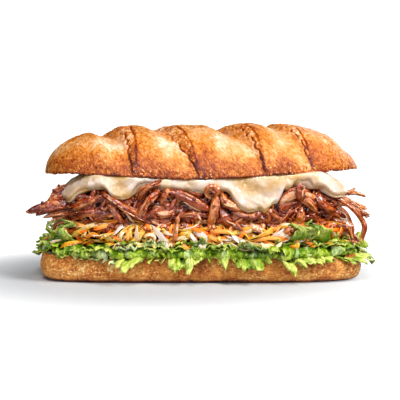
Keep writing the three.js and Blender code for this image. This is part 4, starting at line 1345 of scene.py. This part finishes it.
def shown_paths(shown, rings, flat, layer, draw):
    """Paths of the strands with routes of their own. Ends are tucked into the heap, and where a strand
    passes another layer it stays in front of it. The few that stand off far lie over the cheese."""
    lines = np.stack([route(corners, rings) for corners, _, _ in shown])
    wide = np.array([wide for _, wide, _ in shown])[:, None]
    stand = np.array([stand for _, _, stand in shown])[:, None]
    x, z = lines[..., 0], lines[..., 1]
    lift = mix(np.minimum(stand, -TUCK * 0.4), stand, arch(rings)[None])
    within = np.minimum(z - layer["bottom"], layer["top"] - z)
    free = wide * flat / 2 + GAP + 0.2 - 10 * ease(within, 0.5, 6)
    covered = ease(z, cheese_edge(x, -1) - 1, cheese_edge(x, -1) + 2) * (stand < OVER_CHEESE)
    lift = mix(np.maximum(lift, free), -1.6, covered)
    over = mix(1, stand, ease(np.linspace(0, 1, rings), 0, 0.45)[None])
    lift = np.where(stand < OVER_CHEESE, lift, over)
    paths = in_front(x, z, lift)
    wander = 0.35 * noise(paths + draw.uniform(0, 500, (len(shown), 1, 1)), 4, 75)
    return paths + outward_of(paths) * wander[..., None]


def heap_strands(draw, layer, shown, flat, count, rings, widths, **rule):
    """Paths and widths of one kind of strand: first those with routes of their own, then `count` by rule."""
    own_paths = shown_paths(shown, rings, flat, layer, draw)
    rule_paths = paths_by_rule(draw, layer, count, rings, **rule)
    wide = np.concatenate([[width for _, width, _ in shown], draw.uniform(*widths, count)])
    return np.concatenate([own_paths, rule_paths]), wide


pork_paths, pork_wide = heap_strands(
    draw,
    PORK,
    PORK_SHOWN,
    PORK_FLAT,
    STRANDS_BY_RULE,
    STRAND_RINGS,
    widths=(2.8, 5),
    levels=(31, 48),
    lengths=(14, 30),
    slope=1.1,
    curl=1.8,
    lifts=(0, 2.4),
    front_share=0.2,
)
print(len(pork_paths), "strands,", pork_wide.min().round(1), "to", pork_wide.max().round(1), "mm wide")


# %% Plies
def beside(paths, owner, share, angle, radius):
    """Points at a share of the owners' paths, `radius` off them at an angle round them. Past a path's ends
    they run on straight."""
    rings = paths.shape[1]
    at = np.clip(share, 0, 1) * (rings - 1)
    low = np.minimum(at.astype(int), rings - 2)
    own = owner[:, None]
    centre = mix(paths[own, low], paths[own, low + 1], (at - low)[..., None])
    step = np.gradient(paths, axis=1)[own, low]
    out, aside = across_path(centre, step)
    past = (share - np.clip(share, 0, 1)) * rings
    off = out * (np.cos(angle) * radius * PORK_FLAT)[..., None] + aside * (np.sin(angle) * radius)[..., None]
    return centre + off + step * past[..., None]


def plies_of(paths, wide, draw):
    """Splits each strand into plies: they lie round its middle at even angles, twist slowly, end at
    different places, and part at the strand's ends."""
    many = len(paths) * PLIES
    owner = np.repeat(np.arange(len(paths)), PLIES)
    share = np.linspace(0, 1, PLY_RINGS)[None]
    trim = draw.uniform(-0.04, 0.16, (2, many, 1))
    along = mix(trim[0], 1 - trim[1], share)
    angle = 2 * np.pi * np.tile(np.arange(PLIES), len(paths))[:, None] / PLIES
    angle = angle + draw.normal(0, 0.3, (many, 1))
    angle = angle + np.repeat(draw.normal(0, 1.2, len(paths)), PLIES)[:, None] * share
    parted = 0.14 + 0.2 * np.abs(2 * share - 1) ** 4
    parted = parted + 0.04 * np.sin(9 * share + draw.uniform(0, 6, (many, 1)))
    ply_wide = wide[owner] * draw.uniform(0.52, 0.8, many)
    return beside(paths, owner, along, angle, wide[owner][:, None] * parted), ply_wide


def make_pork(name, paths, wide, draw, around, furrow, blunt, middle_tone):
    """Makes one piece of meat strands. Their width is uneven by a fifth, and what lies deep in the heap is
    painted darker than what stands off it, as painted shade."""
    uneven = wide[:, None] * (1 + 0.22 * noise(paths, 4, 77))
    skins, grain = carry(paths, uneven, uneven * PORK_FLAT, around, draw, furrow, blunt=blunt)
    middle = draw.normal(middle_tone, 0.13, len(wide)) - 0.06 * (wide - wide.mean())
    tone = spread_tone(np.clip(middle, 0.2, 0.85), skins)
    # Painted shade: darker the deeper a strand lies in the heap.
    tone = tone + 0.13 * np.clip(standing(skins) - 1.8, -3.5, 0.9)[..., None]
    make_skins(name, "pulled_pork", skins, [pork_meat], {"tone": tone, "grain": grain})


ply_paths, ply_wide = plies_of(pork_paths, pork_wide, draw)
shown_plies = len(PORK_SHOWN) * PLIES
in_front_paths, in_front_wide = ply_paths[:shown_plies], ply_wide[:shown_plies]
around_paths, around_wide = ply_paths[shown_plies:], ply_wide[shown_plies:]
strand = {"around": PLY_AROUND, "furrow": 0.06, "blunt": 4}
make_pork("pork_strands_in_front", in_front_paths, in_front_wide, draw, **strand, middle_tone=0.5)
make_pork("pork_strands_around", around_paths, around_wide, draw, **strand, middle_tone=0.46)

# %% Loose shreds of meat
shred_paths = paths_by_rule(
    draw,
    PORK,
    SHREDS,
    SHRED_RINGS,
    levels=(29.5, 48.5),
    lengths=(8, 24),
    slope=1.3,
    curl=2.8,
    lifts=(0.6, 3.6),
    front_share=0.45,
)
shred_wide = draw.uniform(1.3, 2.7, SHREDS)
shred = {"around": SHRED_AROUND, "furrow": 0.06, "blunt": 5}
make_pork("pork_shreds", shred_paths, shred_wide, draw, **shred, middle_tone=0.46)

# %% Fibres on the strands and between them
FIBRES_EACH, LOOSE_FIBRES, FIBRE_RINGS, FIBRE_AROUND = 2, 300, 13, 6


def fibres_on(paths, wide, draw):
    """Fibres on the outside of each strand, over a random stretch that may run past the strand's end."""
    many = len(paths) * FIBRES_EACH
    owner = np.repeat(np.arange(len(paths)), FIBRES_EACH)
    start = draw.uniform(-0.08, 0.5, (many, 1))
    share = start + draw.uniform(0.35, 0.62, (many, 1)) * np.linspace(0, 1, FIBRE_RINGS)
    angle = draw.uniform(-1.4, 1.4, (many, 1)) + draw.normal(0, 1.2, (many, 1)) * share
    slim = np.sqrt(np.clip(1 - np.abs(2 * share - 1) ** 3, 0.2, 1))
    return beside(paths, owner, share, angle, wide[owner][:, None] * 0.5 * slim), wide[owner]


on_strands, owner_wide = fibres_on(pork_paths, pork_wide, draw)
loose = paths_by_rule(
    draw,
    PORK,
    LOOSE_FIBRES,
    FIBRE_RINGS,
    levels=(29, 48),
    lengths=(6, 20),
    slope=1.5,
    curl=2.8,
    lifts=(1, 3.6),
    front_share=0.6,
)
fibre_paths = np.concatenate([on_strands, loose])
fibre_wide = owner_wide * draw.uniform(0.14, 0.3, len(owner_wide))
fibre_wide = np.concatenate([fibre_wide, draw.uniform(0.8, 1.6, LOOSE_FIBRES)])
fibre = {"around": FIBRE_AROUND, "furrow": 0, "blunt": 2.4}
make_pork("pork_fibres", fibre_paths, fibre_wide, draw, **fibre, middle_tone=0.54)

# %% [markdown]
# ## Coleslaw
# White cabbage sliced in ribbons 2 to 4 mm wide and under 1 mm thick, and carrot grated into sticks of about
# 2 mm, in a thin creamy dressing. Cabbage is translucent, from white to a pale yellow green, and it curls.
# The core gives the wet tangle behind, and each kind of shred is one piece of many closed skins.


# %% Vegetable materials
def shred_material(name, stops, stretch, gloss, glow):
    """Wet cut vegetable: a ramp follows the shred's own tone, unsettled by veins stretched along it. Light
    goes in by `glow`, and a thin dressing beads on it."""
    shred = new_material(name)
    grain = add_node(shred, "Attribute", {"attribute_name": "grain"}).outputs["Vector"]
    tone = add_node(shred, "Attribute", {"attribute_name": "tone"}).outputs["Fac"]
    vein_place = add_node(shred, "Mapping", {"Scale": stretch}, {"Vector": grain}).outputs[0]
    veins = add_node(shred, "TexNoise", {"Scale": 1, "Detail": 2}, {"Vector": vein_place}).outputs["Fac"]
    total = add_node(shred, "Math", {"operation": "MULTIPLY_ADD", 1: 0.5}, {0: veins, 2: tone}).outputs[0]
    flesh = add_node(shred, "ValToRGB", {"stops": stops}, {"Fac": total}).outputs["Color"]
    ribbed = add_node(shred, "Bump", {"Strength": 0.4, "Distance": 0.0003}, {"Height": veins}).outputs[0]
    place = add_node(shred, "TexCoord").outputs["Object"]
    beads = add_node(shred, "TexNoise", {"Scale": 1 / 0.0014, "Detail": 1}, {"Vector": place}).outputs["Fac"]
    dewy = add_node(shred, "Bump", {"Strength": 0.8, "Distance": 0.0006}, {"Height": beads}).outputs[0]
    shader = add_node(
        shred,
        "BsdfPrincipled",
        {
            "Roughness": gloss,
            "IOR": 1.4,
            "Specular IOR Level": 0.2,
            "Subsurface Weight": glow,
            "Subsurface Scale": 0.002,
            "Subsurface Radius": (1, 0.8, 0.4),
            "Coat Weight": 0.6,
            "Coat Roughness": 0.08,
        },
        {"Base Color": flesh, "Normal": ribbed, "Coat Normal": dewy},
    )
    add_node(shred, "OutputMaterial", {}, {"Surface": shader.outputs[0]})
    return shred


# Cabbage is watery and lets light in. The browns in its ramp are for the wet shade deep in the tangle.
cabbage = shred_material(
    "dressed white cabbage",
    [
        (0, "#481A00"),
        (0.2, "#B26204"),
        (0.4, "#E4A01C"),
        (0.6, "#F0C464"),
        (0.8, "#F4D8B4"),
        (1, "#FCE8E4"),
    ],
    (1 / 5, 1.2, 1.2),
    0.25,
    0.3,
)
# Carrot is denser than cabbage: less light goes in, and its grated face is a little matter.
carrot = shred_material(
    "grated carrot",
    [(0.1, "#8A3304"), (0.4, "#D55A08"), (0.7, "#F47F1C"), (1, "#FFB05C")],
    (1 / 4, 1.5, 1.5),
    0.3,
    0.2,
)

# %% Slaw core
# The wet tangle that shows between the shreds, painted dark as the shade deep in it, and a little lighter
# where it bulges.
slaw_core = layer_core(SLAW, (9, 4), (9, 4))
tangle = 1.1 * rough(slaw_core * [1, 1, 1.5], 3.2, 3, 81)
slaw_core = slaw_core + skin_normals(slaw_core) * (tangle - 0.8)[..., None]
core_paint = {"tone": -0.34 + 0.22 * tangle, "grain": slaw_core}
make_skin("slaw_heap", "coleslaw", slaw_core, [cabbage], core_paint)


def shred_tone(tone, skins):
    """A tone for each shred, with painted shade: darker the deeper it lies in the tangle."""
    return spread_tone(tone, skins) + 0.21 * np.clip(standing(skins) - 1.5, -3, 1)[..., None]


# %% Cabbage that shows in front
# As for the meat: the corners of each route, its width, and how far it stands off.
CABBAGE_SHOWN = [
    ([(-71.5, 22), (-62, 28.6), (-54.2, 31.7), (-45, 33.4)], 2.8, 2.2),
    ([(-53.5, 23), (-42.3, 27.4)], 2.2, 2),
    ([(-42.2, 20.6), (-42.2, 25.9), (-39, 29.6)], 2.2, 2.6),
    ([(-36.5, 21.8), (-37, 29.8)], 1.8, 2.2),
    ([(-33.3, 21.6), (-34, 31.4)], 2.8, 3),
    ([(-37, 23.4), (-31.8, 20.4), (-27.2, 21.4)], 2.2, 2.8),
    ([(-26.6, 30.8), (-20.3, 24.9), (-16.6, 15.8)], 3.2, 3.4),
    ([(-25.2, 22), (-23.2, 16.8)], 1.6, 2.6),
    ([(-10.4, 28.6), (-3.2, 30.1), (3, 33.4)], 2.6, 2),
    ([(-7.6, 22.8), (-5.6, 28.8)], 2, 2.4),
    ([(-5.2, 28.6), (2.1, 25.4), (1, 18.4)], 3.4, 3.2),
    ([(8.4, 26), (11.2, 21.6)], 2.4, 2.6),
    ([(11.5, 25.6), (21.3, 22)], 2, 2),
    ([(11.5, 21), (21.3, 22.4)], 1.8, 2.4),
    ([(15.1, 25.2), (25.5, 21.2), (34.3, 20)], 2.2, 3),
    ([(24.5, 23.2), (31.8, 25.7), (39.5, 29.6)], 3, 3),
    ([(36, 23.8), (44.7, 29)], 2.6, 2.4),
    ([(56.8, 28.9), (65.6, 26)], 2.4, 2.4),
    ([(31, 22.8), (36.6, 17.4)], 3, 3.2),
    ([(70.3, 26.3), (77, 23.4)], 2.6, 2.4),
    ([(37.5, 19), (47.3, 23.8)], 2.2, 2.8),
    ([(45.3, 25), (53.6, 29)], 2.4, 2.2),
    ([(-31, 23.6), (-28.4, 26.4), (-24, 26.2), (-23.2, 23.4), (-27, 21.8), (-30.6, 23.2)], 1.7, 3),
    ([(-4, 31.4), (-1, 33), (2.6, 31.6)], 1.6, 2),
]
print(len(CABBAGE_SHOWN), "ribbons have routes of their own")

# %% Cabbage ribbons
# A ribbon's two ends are turned against each other, so it rolls over along its way. Flat faces keep the crisp
# edges of what was cut.
RIBBONS, RIBBON_RINGS, RIBBON_AROUND, RIBBON_THICK = 340, 18, 6, 0.6
draw = np.random.default_rng(23)
ribbon_paths, ribbon_wide = heap_strands(
    draw,
    SLAW,
    CABBAGE_SHOWN,
    0.5,
    RIBBONS,
    RIBBON_RINGS,
    widths=(1.3, 3),
    levels=(21, 31.5),
    lengths=(10, 24),
    slope=1.1,
    curl=2.2,
    lifts=(0.2, 3.2),
    front_share=0.7,
)
ribbon_count = len(ribbon_wide)
turned = draw.normal(0, 0.7, (ribbon_count, 1))
rolling = draw.normal(0, 1.8, (ribbon_count, 1)) * np.linspace(-0.5, 0.5, RIBBON_RINGS)
ribbons, ribbon_grain = carry(
    ribbon_paths,
    ribbon_wide[:, None] * (1 + 0.2 * noise(ribbon_paths, 4, 83)),
    np.full((ribbon_count, RIBBON_RINGS), RIBBON_THICK),
    RIBBON_AROUND,
    draw,
    twist=turned + rolling,
    blunt=6,
    square=3,
)
# Half are the gold of dressed outer leaves, and half the white of the heart.
gold, white = draw.uniform(0.02, 0.28, ribbon_count), draw.uniform(0.28, 0.64, ribbon_count)
ribbon_tone = np.where(np.arange(ribbon_count) % 2, gold, white)
make_skins(
    "cabbage_ribbons",
    "coleslaw",
    ribbons,
    [cabbage],
    {"tone": shred_tone(ribbon_tone, ribbons), "grain": ribbon_grain},
    smooth=False,
)

# %% Carrot sticks
CARROT_SHOWN = [
    ([(-69.3, 31.5), (-57.9, 28.8)], 2.2, 2.2),
    ([(-57.3, 28), (-47.4, 31.1), (-42.3, 34.4)], 2.2, 2.2),
    ([(-38.7, 20.4), (-38, 28.8)], 1.9, 2.8),
    ([(-7.8, 30.6), (4.6, 26)], 2, 2.6),
    ([(-10.4, 20.8), (-6.3, 18.6)], 2.2, 2.8),
    ([(3.7, 28.2), (17.1, 27.4)], 2.3, 2.6),
    ([(2.6, 25.8), (10.9, 21.8)], 2, 2.4),
    ([(26.1, 21.8), (35.9, 24.9), (44.7, 22.4)], 2, 2.6),
    ([(52, 31.6), (56.3, 27.4)], 2.2, 2.4),
    ([(62, 28.1), (74.4, 27.4)], 2.2, 2.4),
]
# A stick is nearly square, blunt at its ends, and lies a little flat.
STICKS, STICK_RINGS, STICK_AROUND, STICK_FLAT = 100, 9, 8, 0.85
stick_paths, stick_wide = heap_strands(
    draw,
    SLAW,
    CARROT_SHOWN,
    0.9,
    STICKS,
    STICK_RINGS,
    widths=(1.6, 2.4),
    levels=(22, 31),
    lengths=(6, 15),
    slope=1.4,
    curl=0.7,
    lifts=(0.6, 2.8),
    front_share=0.7,
)
stick_wide = stick_wide[:, None]
sticks, stick_grain = carry(
    stick_paths, stick_wide, stick_wide * STICK_FLAT, STICK_AROUND, draw, blunt=7, square=3.4
)
make_skins(
    "carrot_sticks",
    "coleslaw",
    sticks,
    [carrot],
    {"tone": shred_tone(draw.uniform(0.2, 0.6, len(stick_wide)), sticks), "grain": stick_grain},
    smooth=False,
)

# %% [markdown]
# ## Lettuce
# Loose-leaf lettuce with a frilled edge. A leaf is thin, stiff along its pale rib and slack at its rim, which
# has grown longer than the leaf that carries it, so it has to ruffle. Each leaf is a sheet rooted in the bed:
# two numbers run across it and out to its rim. Ruffles are sines across the leaf whose height grows with a
# power of the distance from the root, finer ones nearer the rim, and ridges of noise cut pointed lobes in
# the rim.

# %% Leaf places
# Each leaf in front: its place along the roll, width, reach, how far it hangs (or rises), and how pale it is.
FRONT_LEAVES = [
    (-88, 24, 9.5, 5.5, 0.05),
    (-86, 18, 5, -8, 0.35),
    (-82, 14, 7, -10, 0.15),
    (-67, 20, 5.5, 5.2, 0.1),
    (-56, 20, 6, 5.8, 0.6),
    (-40, 18, 7, 6.4, 0),
    (-27, 19, 8.5, 10, 0),
    (-8, 18, 6.5, 7.4, 0.1),
    (12, 20, 6, 5.6, 0),
    (29, 18, 6.5, 6.6, 0.05),
    (45, 18, 7, 7.8, 0),
    (60, 20, 6, 6, 0),
    (64, 18, 5.5, -8.5, 0.1),
    (76, 20, 6, -7, 0),
    (84, 24, 5.4, 5.4, 0.1),
]
LEAVES_BEHIND, SMALL_LEAVES = 7, 92
LEAF_GRID, SMALL_GRID = (80, 20), (40, 12)
LEAF_ROOT = 5
draw = np.random.default_rng(43)


def front_place(x):
    """The share of the way round that is in front of x on the heel."""
    front = WAY[:-1, 1] < 0
    off = np.abs(WAY[:-1, 0] * HEEL["half_length"] - np.asarray(x)[:, None]) + 1000 * ~front
    return off.argmin(1) / (len(WAY) - 1)


def ridges(points, size, seed):
    """Noise folded over at its zero, 1 - 2 |noise|, which gives sharp crests and round hollows."""
    return 1 - 2 * np.abs(noise(points, size, seed))


# The leaves behind and at the ends follow a rule, and so do the small ones all round.
front_leaves = np.array(FRONT_LEAVES, float)
behind_place = 0.47 * (np.arange(LEAVES_BEHIND) + 0.5) / LEAVES_BEHIND
behind_droop = np.where(np.arange(LEAVES_BEHIND) % 3 == 1, -5.5, draw.uniform(6, 10, LEAVES_BEHIND))
behind = [behind_place, draw.uniform(30, 36, LEAVES_BEHIND), draw.uniform(5, 7, LEAVES_BEHIND), behind_droop]
behind.append(draw.uniform(0, 0.5, LEAVES_BEHIND) ** 2)
in_front_of_heel = [front_place(front_leaves[:, 0]), *front_leaves[:, 1:].T]
large_leaves = np.concatenate([in_front_of_heel, behind], axis=1)
small_leaves = np.stack(
    [
        (np.arange(SMALL_LEAVES) * GOLDEN + 0.3) % 1,
        draw.uniform(7, 13, SMALL_LEAVES),
        draw.uniform(3.5, 6, SMALL_LEAVES),
        draw.uniform(-3, 5.5, SMALL_LEAVES),
        0.7 * draw.uniform(0, 1, SMALL_LEAVES) ** 4,
    ]
)
print(large_leaves.shape[1], "large and", small_leaves.shape[1], "small leaves")


# %% Leaf surface
def leaf_sheets(places, levels, grid, draw):
    """Sheets (leaves, across, out, 3). From the root to the rim (v) a sheet runs out by reach * v^0.8 and
    falls by droop * v^2.2. Ridges of noise across it cut the rim into pointed lobes, none deeper than to a
    quarter of the reach. Ruffles along the sheet's normal are sines across it, with heights that grow as
    powers of v, and hanging leaves are calmer. Finer ridges crumple it."""
    place, width, reach, droop, pale = places[..., None, None]

    def vary(low, high):
        """One random number for each leaf."""
        return draw.uniform(low, high, place.shape)

    level = vary(*levels)
    u = np.linspace(0, 1, grid[0])[None, :, None]
    v = np.linspace(0, 1, grid[1])[None, None, :]
    number = np.arange(len(place))[:, None, None]
    seat = np.stack(np.broadcast_arrays(31.7 * number + 0 * v, u * width, 90 * place), -1)
    lobes = 0.4 * ridges(seat, 7, 91) + 0.5 * ridges(seat, 3.4, 92) + 0.2 * ridges(seat, 1.6, 90)
    length = np.maximum(1 + 0.3 * rough(seat, 11, 2, 94) + (1.25 * lobes - 0.45) * v**2, 0.25)
    spread = (u - 0.5) * width * (0.75 + 0.4 * v) + 0.8 * v**2 * noise(seat, 3, 96)
    rounded = 1 - 0.45 * np.abs(2 * u - 1) ** 3
    out = mix(-LEAF_ROOT, reach * length * rounded, v**0.8)
    z = level - droop * length * rounded * v**2.2
    sheet = round_stack(place + spread / WAY_ROUND, z, out)
    normal = unit(np.cross(np.gradient(sheet, axis=2), np.gradient(sheet, axis=1)))
    ruffle = 0
    for waves_across, tall, power in ((1.7, 1.2, 1.4), (4.4, 0.6, 2.2), (9, 0.4, 3)):
        phase = vary(0, 2 * np.pi) + 3 * noise(seat, 24 / waves_across, 93)
        waves_here = waves_across * vary(0.8, 1.25) * width / 26
        tall = tall * vary(0.6, 1.3) * (1 - 0.55 * ease(droop, 2, 7))
        ruffle = ruffle + tall * v**power * np.sin(2 * np.pi * waves_here * u + phase)
    ruffle = ruffle + 0.7 * v * rough(sheet, 3, 2, 97)
    ruffle = ruffle + np.sqrt(v) * (1.3 * ridges(sheet, 3.2, 89) + 0.6 * ridges(sheet, 1.4, 88))
    sheet = sheet + normal * ruffle[..., None]
    rib = np.exp(-(((u - 0.5 + 0.06 * noise(seat, 9, 98)) / 0.06) ** 2)) * (1 - v**2)
    # The rim is bright. Painted light makes it brighter on crests, on what stands off the roll and on leaves
    # that rise, and painted shade darker in the hollows between crests and deep in the heap.
    rim = v**1.8 + 0.36 * (ruffle - 0.5) * v + 0.05 * np.clip(standing(sheet) - 4, -4, 3)
    rim = rim + 0.35 * v * ease(-droop, 2, 8)
    paint = {
        "rim": rim,
        "tone": 0 * ruffle + vary(0, 1),
        "pale": np.clip(pale * (0.7 + 0.9 * noise(sheet, 7, 99)) + 0.7 * rib, 0, 1),
    }
    paint = {title: values[..., None] for title, values in paint.items()}
    paint["leaf"] = np.stack(np.broadcast_arrays(spread, v * (reach + np.abs(droop)), 40.0 * number), -1)
    return sheet, paint


# %% Lettuce material
leaf_green = new_material("fresh frilled lettuce")
# A living leaf: waxy, thin enough to glow, pale and juicy at the rib, bright at the rim, with a net of
# veins of about 3 mm that dimples it. `rim` also carries painted light on crests and painted shade in
# hollows.
rim, tone, pale = (
    add_node(leaf_green, "Attribute", {"attribute_name": painted}).outputs["Fac"]
    for painted in ("rim", "tone", "pale")
)
leaf_seat = add_node(leaf_green, "Attribute", {"attribute_name": "leaf"}).outputs["Vector"]
place = add_node(leaf_green, "TexCoord").outputs["Object"]
shade = add_node(leaf_green, "TexNoise", {"Scale": 1 / 0.005, "Detail": 3}, {"Vector": place}).outputs["Fac"]
net = add_node(
    leaf_green, "TexVoronoi", {"feature": "DISTANCE_TO_EDGE", "Scale": 1 / 3}, {"Vector": leaf_seat}
).outputs["Distance"]
veins = add_node(
    leaf_green, "MapRange", {"From Max": 0.16, "To Min": 0.16, "To Max": 0}, {"Value": net}
).outputs[0]
total = add_node(leaf_green, "Math", {"operation": "SUBTRACT", 1: 0.44}, {0: shade}).outputs[0]
total = add_node(leaf_green, "Math", {"operation": "MULTIPLY_ADD", 1: 0.28}, {0: tone, 2: total}).outputs[0]
total = add_node(leaf_green, "Math", {"operation": "MULTIPLY_ADD", 1: 0.56}, {0: rim, 2: total}).outputs[0]
total = add_node(leaf_green, "Math", {"operation": "ADD"}, {0: total, 1: veins}).outputs[0]
blade = add_node(
    leaf_green,
    "ValToRGB",
    {"stops": [(0, "#142000"), (0.26, "#3A5400"), (0.52, "#628600"), (0.78, "#92A814"), (1, "#C6CE68")]},
    {"Fac": total},
).outputs["Color"]
green = add_node(leaf_green, "MixRGB", {2: linear("#DDE6B4")}, {0: pale, 1: blade}).outputs["Color"]
grit = add_node(leaf_green, "TexNoise", {"Scale": 1 / 0.0012, "Detail": 2}, {"Vector": place}).outputs["Fac"]
creased = add_node(leaf_green, "Bump", {"Strength": 0.8, "Distance": 0.0009}, {"Height": grit}).outputs[0]
dimpled = add_node(
    leaf_green, "Bump", {"Strength": 0.6, "Distance": 0.0006}, {"Height": net, "Normal": creased}
).outputs[0]
shader = add_node(
    leaf_green,
    "BsdfPrincipled",
    {
        "Roughness": 0.4,
        "IOR": 1.42,
        "Specular IOR Level": 0.3,
        "Subsurface Weight": 0.05,
        "Subsurface Scale": 0.001,
        "Subsurface Radius": (0.7, 1, 0.25),
        "Coat Weight": 0.6,
        "Coat Roughness": 0.12,
    },
    {"Base Color": green, "Normal": dimpled, "Coat Normal": dimpled},
)
add_node(leaf_green, "OutputMaterial", {}, {"Surface": shader.outputs[0]})

# %% Make the leaves
LEAF_THICK = 0.32


def make_leaves(name, places, levels, grid, draw):
    """Makes one piece of leaves: the sheets' quads, given a thickness to both sides by a modifier."""
    sheets, paint = leaf_sheets(places, levels, grid, draw)
    row, column = np.meshgrid(np.arange(grid[0] - 1), np.arange(grid[1] - 1), indexing="ij")
    here = row * grid[1] + column
    quads = np.stack([here, here + 1, here + grid[1] + 1, here + grid[1]], -1).reshape(-1, 4)
    first = np.arange(len(sheets))[:, None, None] * grid[0] * grid[1]
    piece = make_piece(
        name,
        "lettuce",
        sheets.reshape(-1, 3),
        (quads + first).reshape(-1, 4),
        np.zeros((0, 3), int),
        [leaf_green],
        {title: values.reshape(-1, values.shape[-1]) for title, values in paint.items()},
    )
    wall = piece.modifiers.new("leaf thickness", "SOLIDIFY")
    wall.thickness = LEAF_THICK * MM
    wall.offset = 0


make_leaves("large_leaves", large_leaves, (17.6, 19.2), LEAF_GRID, draw)
make_leaves("small_leaves", small_leaves, (17.5, 21), SMALL_GRID, draw)

# %% Lettuce bed
# Pressed, crumpled leaves that the others are rooted in, painted dark as the shade under them, and a little
# lighter on their crumples.
bed = layer_core(LETTUCE, (6, 4), (6, 4))
crumple = rough(bed * [1, 1, 1.4], 4, 3, 95)
bed = bed + skin_normals(bed) * (1.2 * crumple - 0.8)[..., None]
bed_paint = {"rim": 0.25 * crumple, "tone": 0 * crumple, "pale": 0 * crumple, "leaf": bed}
make_skin("lettuce_bed", "lettuce", bed, [leaf_green], bed_paint)

# %% [markdown]
# ## Crumbs, sauce and dressing
# Small loose things finish the food: crumbs along the crown's cut edge, drops of brown sauce on the strands,
# and beads of dressing on the shreds. All are lumps of a few dozen faces: a sphere whose points are moved in
# and out by a fifth, flattened towards what it lies on.


# %% Lumps
LUMP_RINGS, LUMP_AROUND = 4, 7


def lumps(centres, sizes, flat, draw):
    """Closed lumps (count, rings, around, 3). Rings run from the pole that points out to the one that
    points in, at even angles, and the out axis is scaled by `flat`."""
    polar = np.pi * (np.arange(LUMP_RINGS) + 0.5)[:, None] / LUMP_RINGS
    angle = 2 * np.pi * np.arange(LUMP_AROUND)[None] / LUMP_AROUND
    upwards, aside = np.sin(polar) * np.cos(angle), np.sin(polar) * np.sin(angle)
    ball = np.stack(np.broadcast_arrays(np.cos(polar), upwards, aside), -1)
    uneven = 1 + draw.uniform(-0.2, 0.2, (len(centres), LUMP_RINGS, LUMP_AROUND, 1))
    ball = ball * uneven * sizes[:, None, None, None] / 2
    out = outward_of(centres)
    up = np.array([0.0, 0, 1]) + 0 * out
    axes = np.stack([out * flat, up, np.cross(up, out)], 1)
    return centres[:, None, None] + ball @ axes[:, None]


print("faces of a lump:", sum(len(faces) for faces in skin_faces(LUMP_RINGS, LUMP_AROUND)))


# %% Crumbs on the crown's edge
# They sit on the crust's own points, up to nine steps above the rim in front or behind, and not at the tips.
CRUMBS = 420
draw = np.random.default_rng(61)
stations = draw.integers(8, CROWN_STATIONS - 8, CRUMBS)
up_from_rim = draw.integers(1, 9, CRUMBS)
rounds = np.where(draw.random(CRUMBS) < 0.5, up_from_rim, CROWN_ROUND - 1 - up_from_rim)
crumbs = lumps(crust[stations, rounds], draw.uniform(0.4, 1.1, CRUMBS), 0.8, draw)
make_skins(
    "rim_crumbs",
    "bun_crown",
    crumbs,
    [crown_crust],
    {
        "bake": spread_tone(draw.uniform(0.1, 0.8, CRUMBS), crumbs),
        "torn": spread_tone(np.ones(CRUMBS), crumbs),
        "smooth": spread_tone(np.zeros(CRUMBS), crumbs),
        "flecks": spread_tone(np.zeros(CRUMBS), crumbs),
        "dough": crumbs,
    },
)


# %% Drops of sauce and of dressing
def wet_material(name, stops, clear):
    """A drop of sauce: a ramp over soft blotches of 3 mm, under a smooth wet skin, with light inside it."""
    wet = new_material(name)
    place = add_node(wet, "TexCoord").outputs["Object"]
    blotches = add_node(wet, "TexNoise", {"Scale": 1 / 0.003, "Detail": 2}, {"Vector": place}).outputs["Fac"]
    body = add_node(wet, "ValToRGB", {"stops": stops}, {"Fac": blotches}).outputs["Color"]
    skin = add_node(wet, "Bump", {"Strength": 0.3, "Distance": 0.0003}, {"Height": blotches}).outputs[0]
    shader = add_node(
        wet,
        "BsdfPrincipled",
        {
            "Roughness": 0.12,
            "IOR": 1.4,
            "Subsurface Weight": clear,
            "Subsurface Scale": 0.002,
            "Coat Weight": 1,
        },
        {"Base Color": body, "Normal": skin},
    )
    add_node(wet, "OutputMaterial", {}, {"Surface": shader.outputs[0]})
    return wet


def drops_on(paths, wide, count, draw):
    """Places on the outside of random strands: half a width off the strand's middle, facing out."""
    owner = draw.integers(0, len(paths), count)
    share = draw.uniform(0.1, 0.9, (count, 1))
    angle = draw.uniform(-0.9, 0.9, (count, 1))
    return beside(paths, owner, share, angle, 0.5 * wide[owner][:, None])[:, 0]


# The sauce is sugar and vinegar, dark and clear, and the dressing is an emulsion, pale and milky.
brown_sauce = wet_material("brown sweet sauce", [(0.3, "#4C1400"), (0.5, "#7C2A04"), (0.7, "#A84C0C")], 0.3)
dressing = wet_material("creamy dressing", [(0.3, "#F3DCC2"), (0.6, "#FFF3EA")], 0.4)
SAUCE_DROPS, DRESSING_DROPS = 300, 140
sauce_places = drops_on(pork_paths, pork_wide, SAUCE_DROPS, draw)
sauce = lumps(sauce_places, draw.uniform(0.7, 2.6, SAUCE_DROPS), 0.55, draw)
make_skins("sauce_drops", "pulled_pork", sauce, [brown_sauce])
bead_places = drops_on(ribbon_paths, np.full(ribbon_count, RIBBON_THICK), DRESSING_DROPS, draw)
beads = lumps(bead_places, draw.uniform(0.6, 1.7, DRESSING_DROPS), 0.5, draw)
make_skins("dressing_beads", "coleslaw", beads, [dressing])
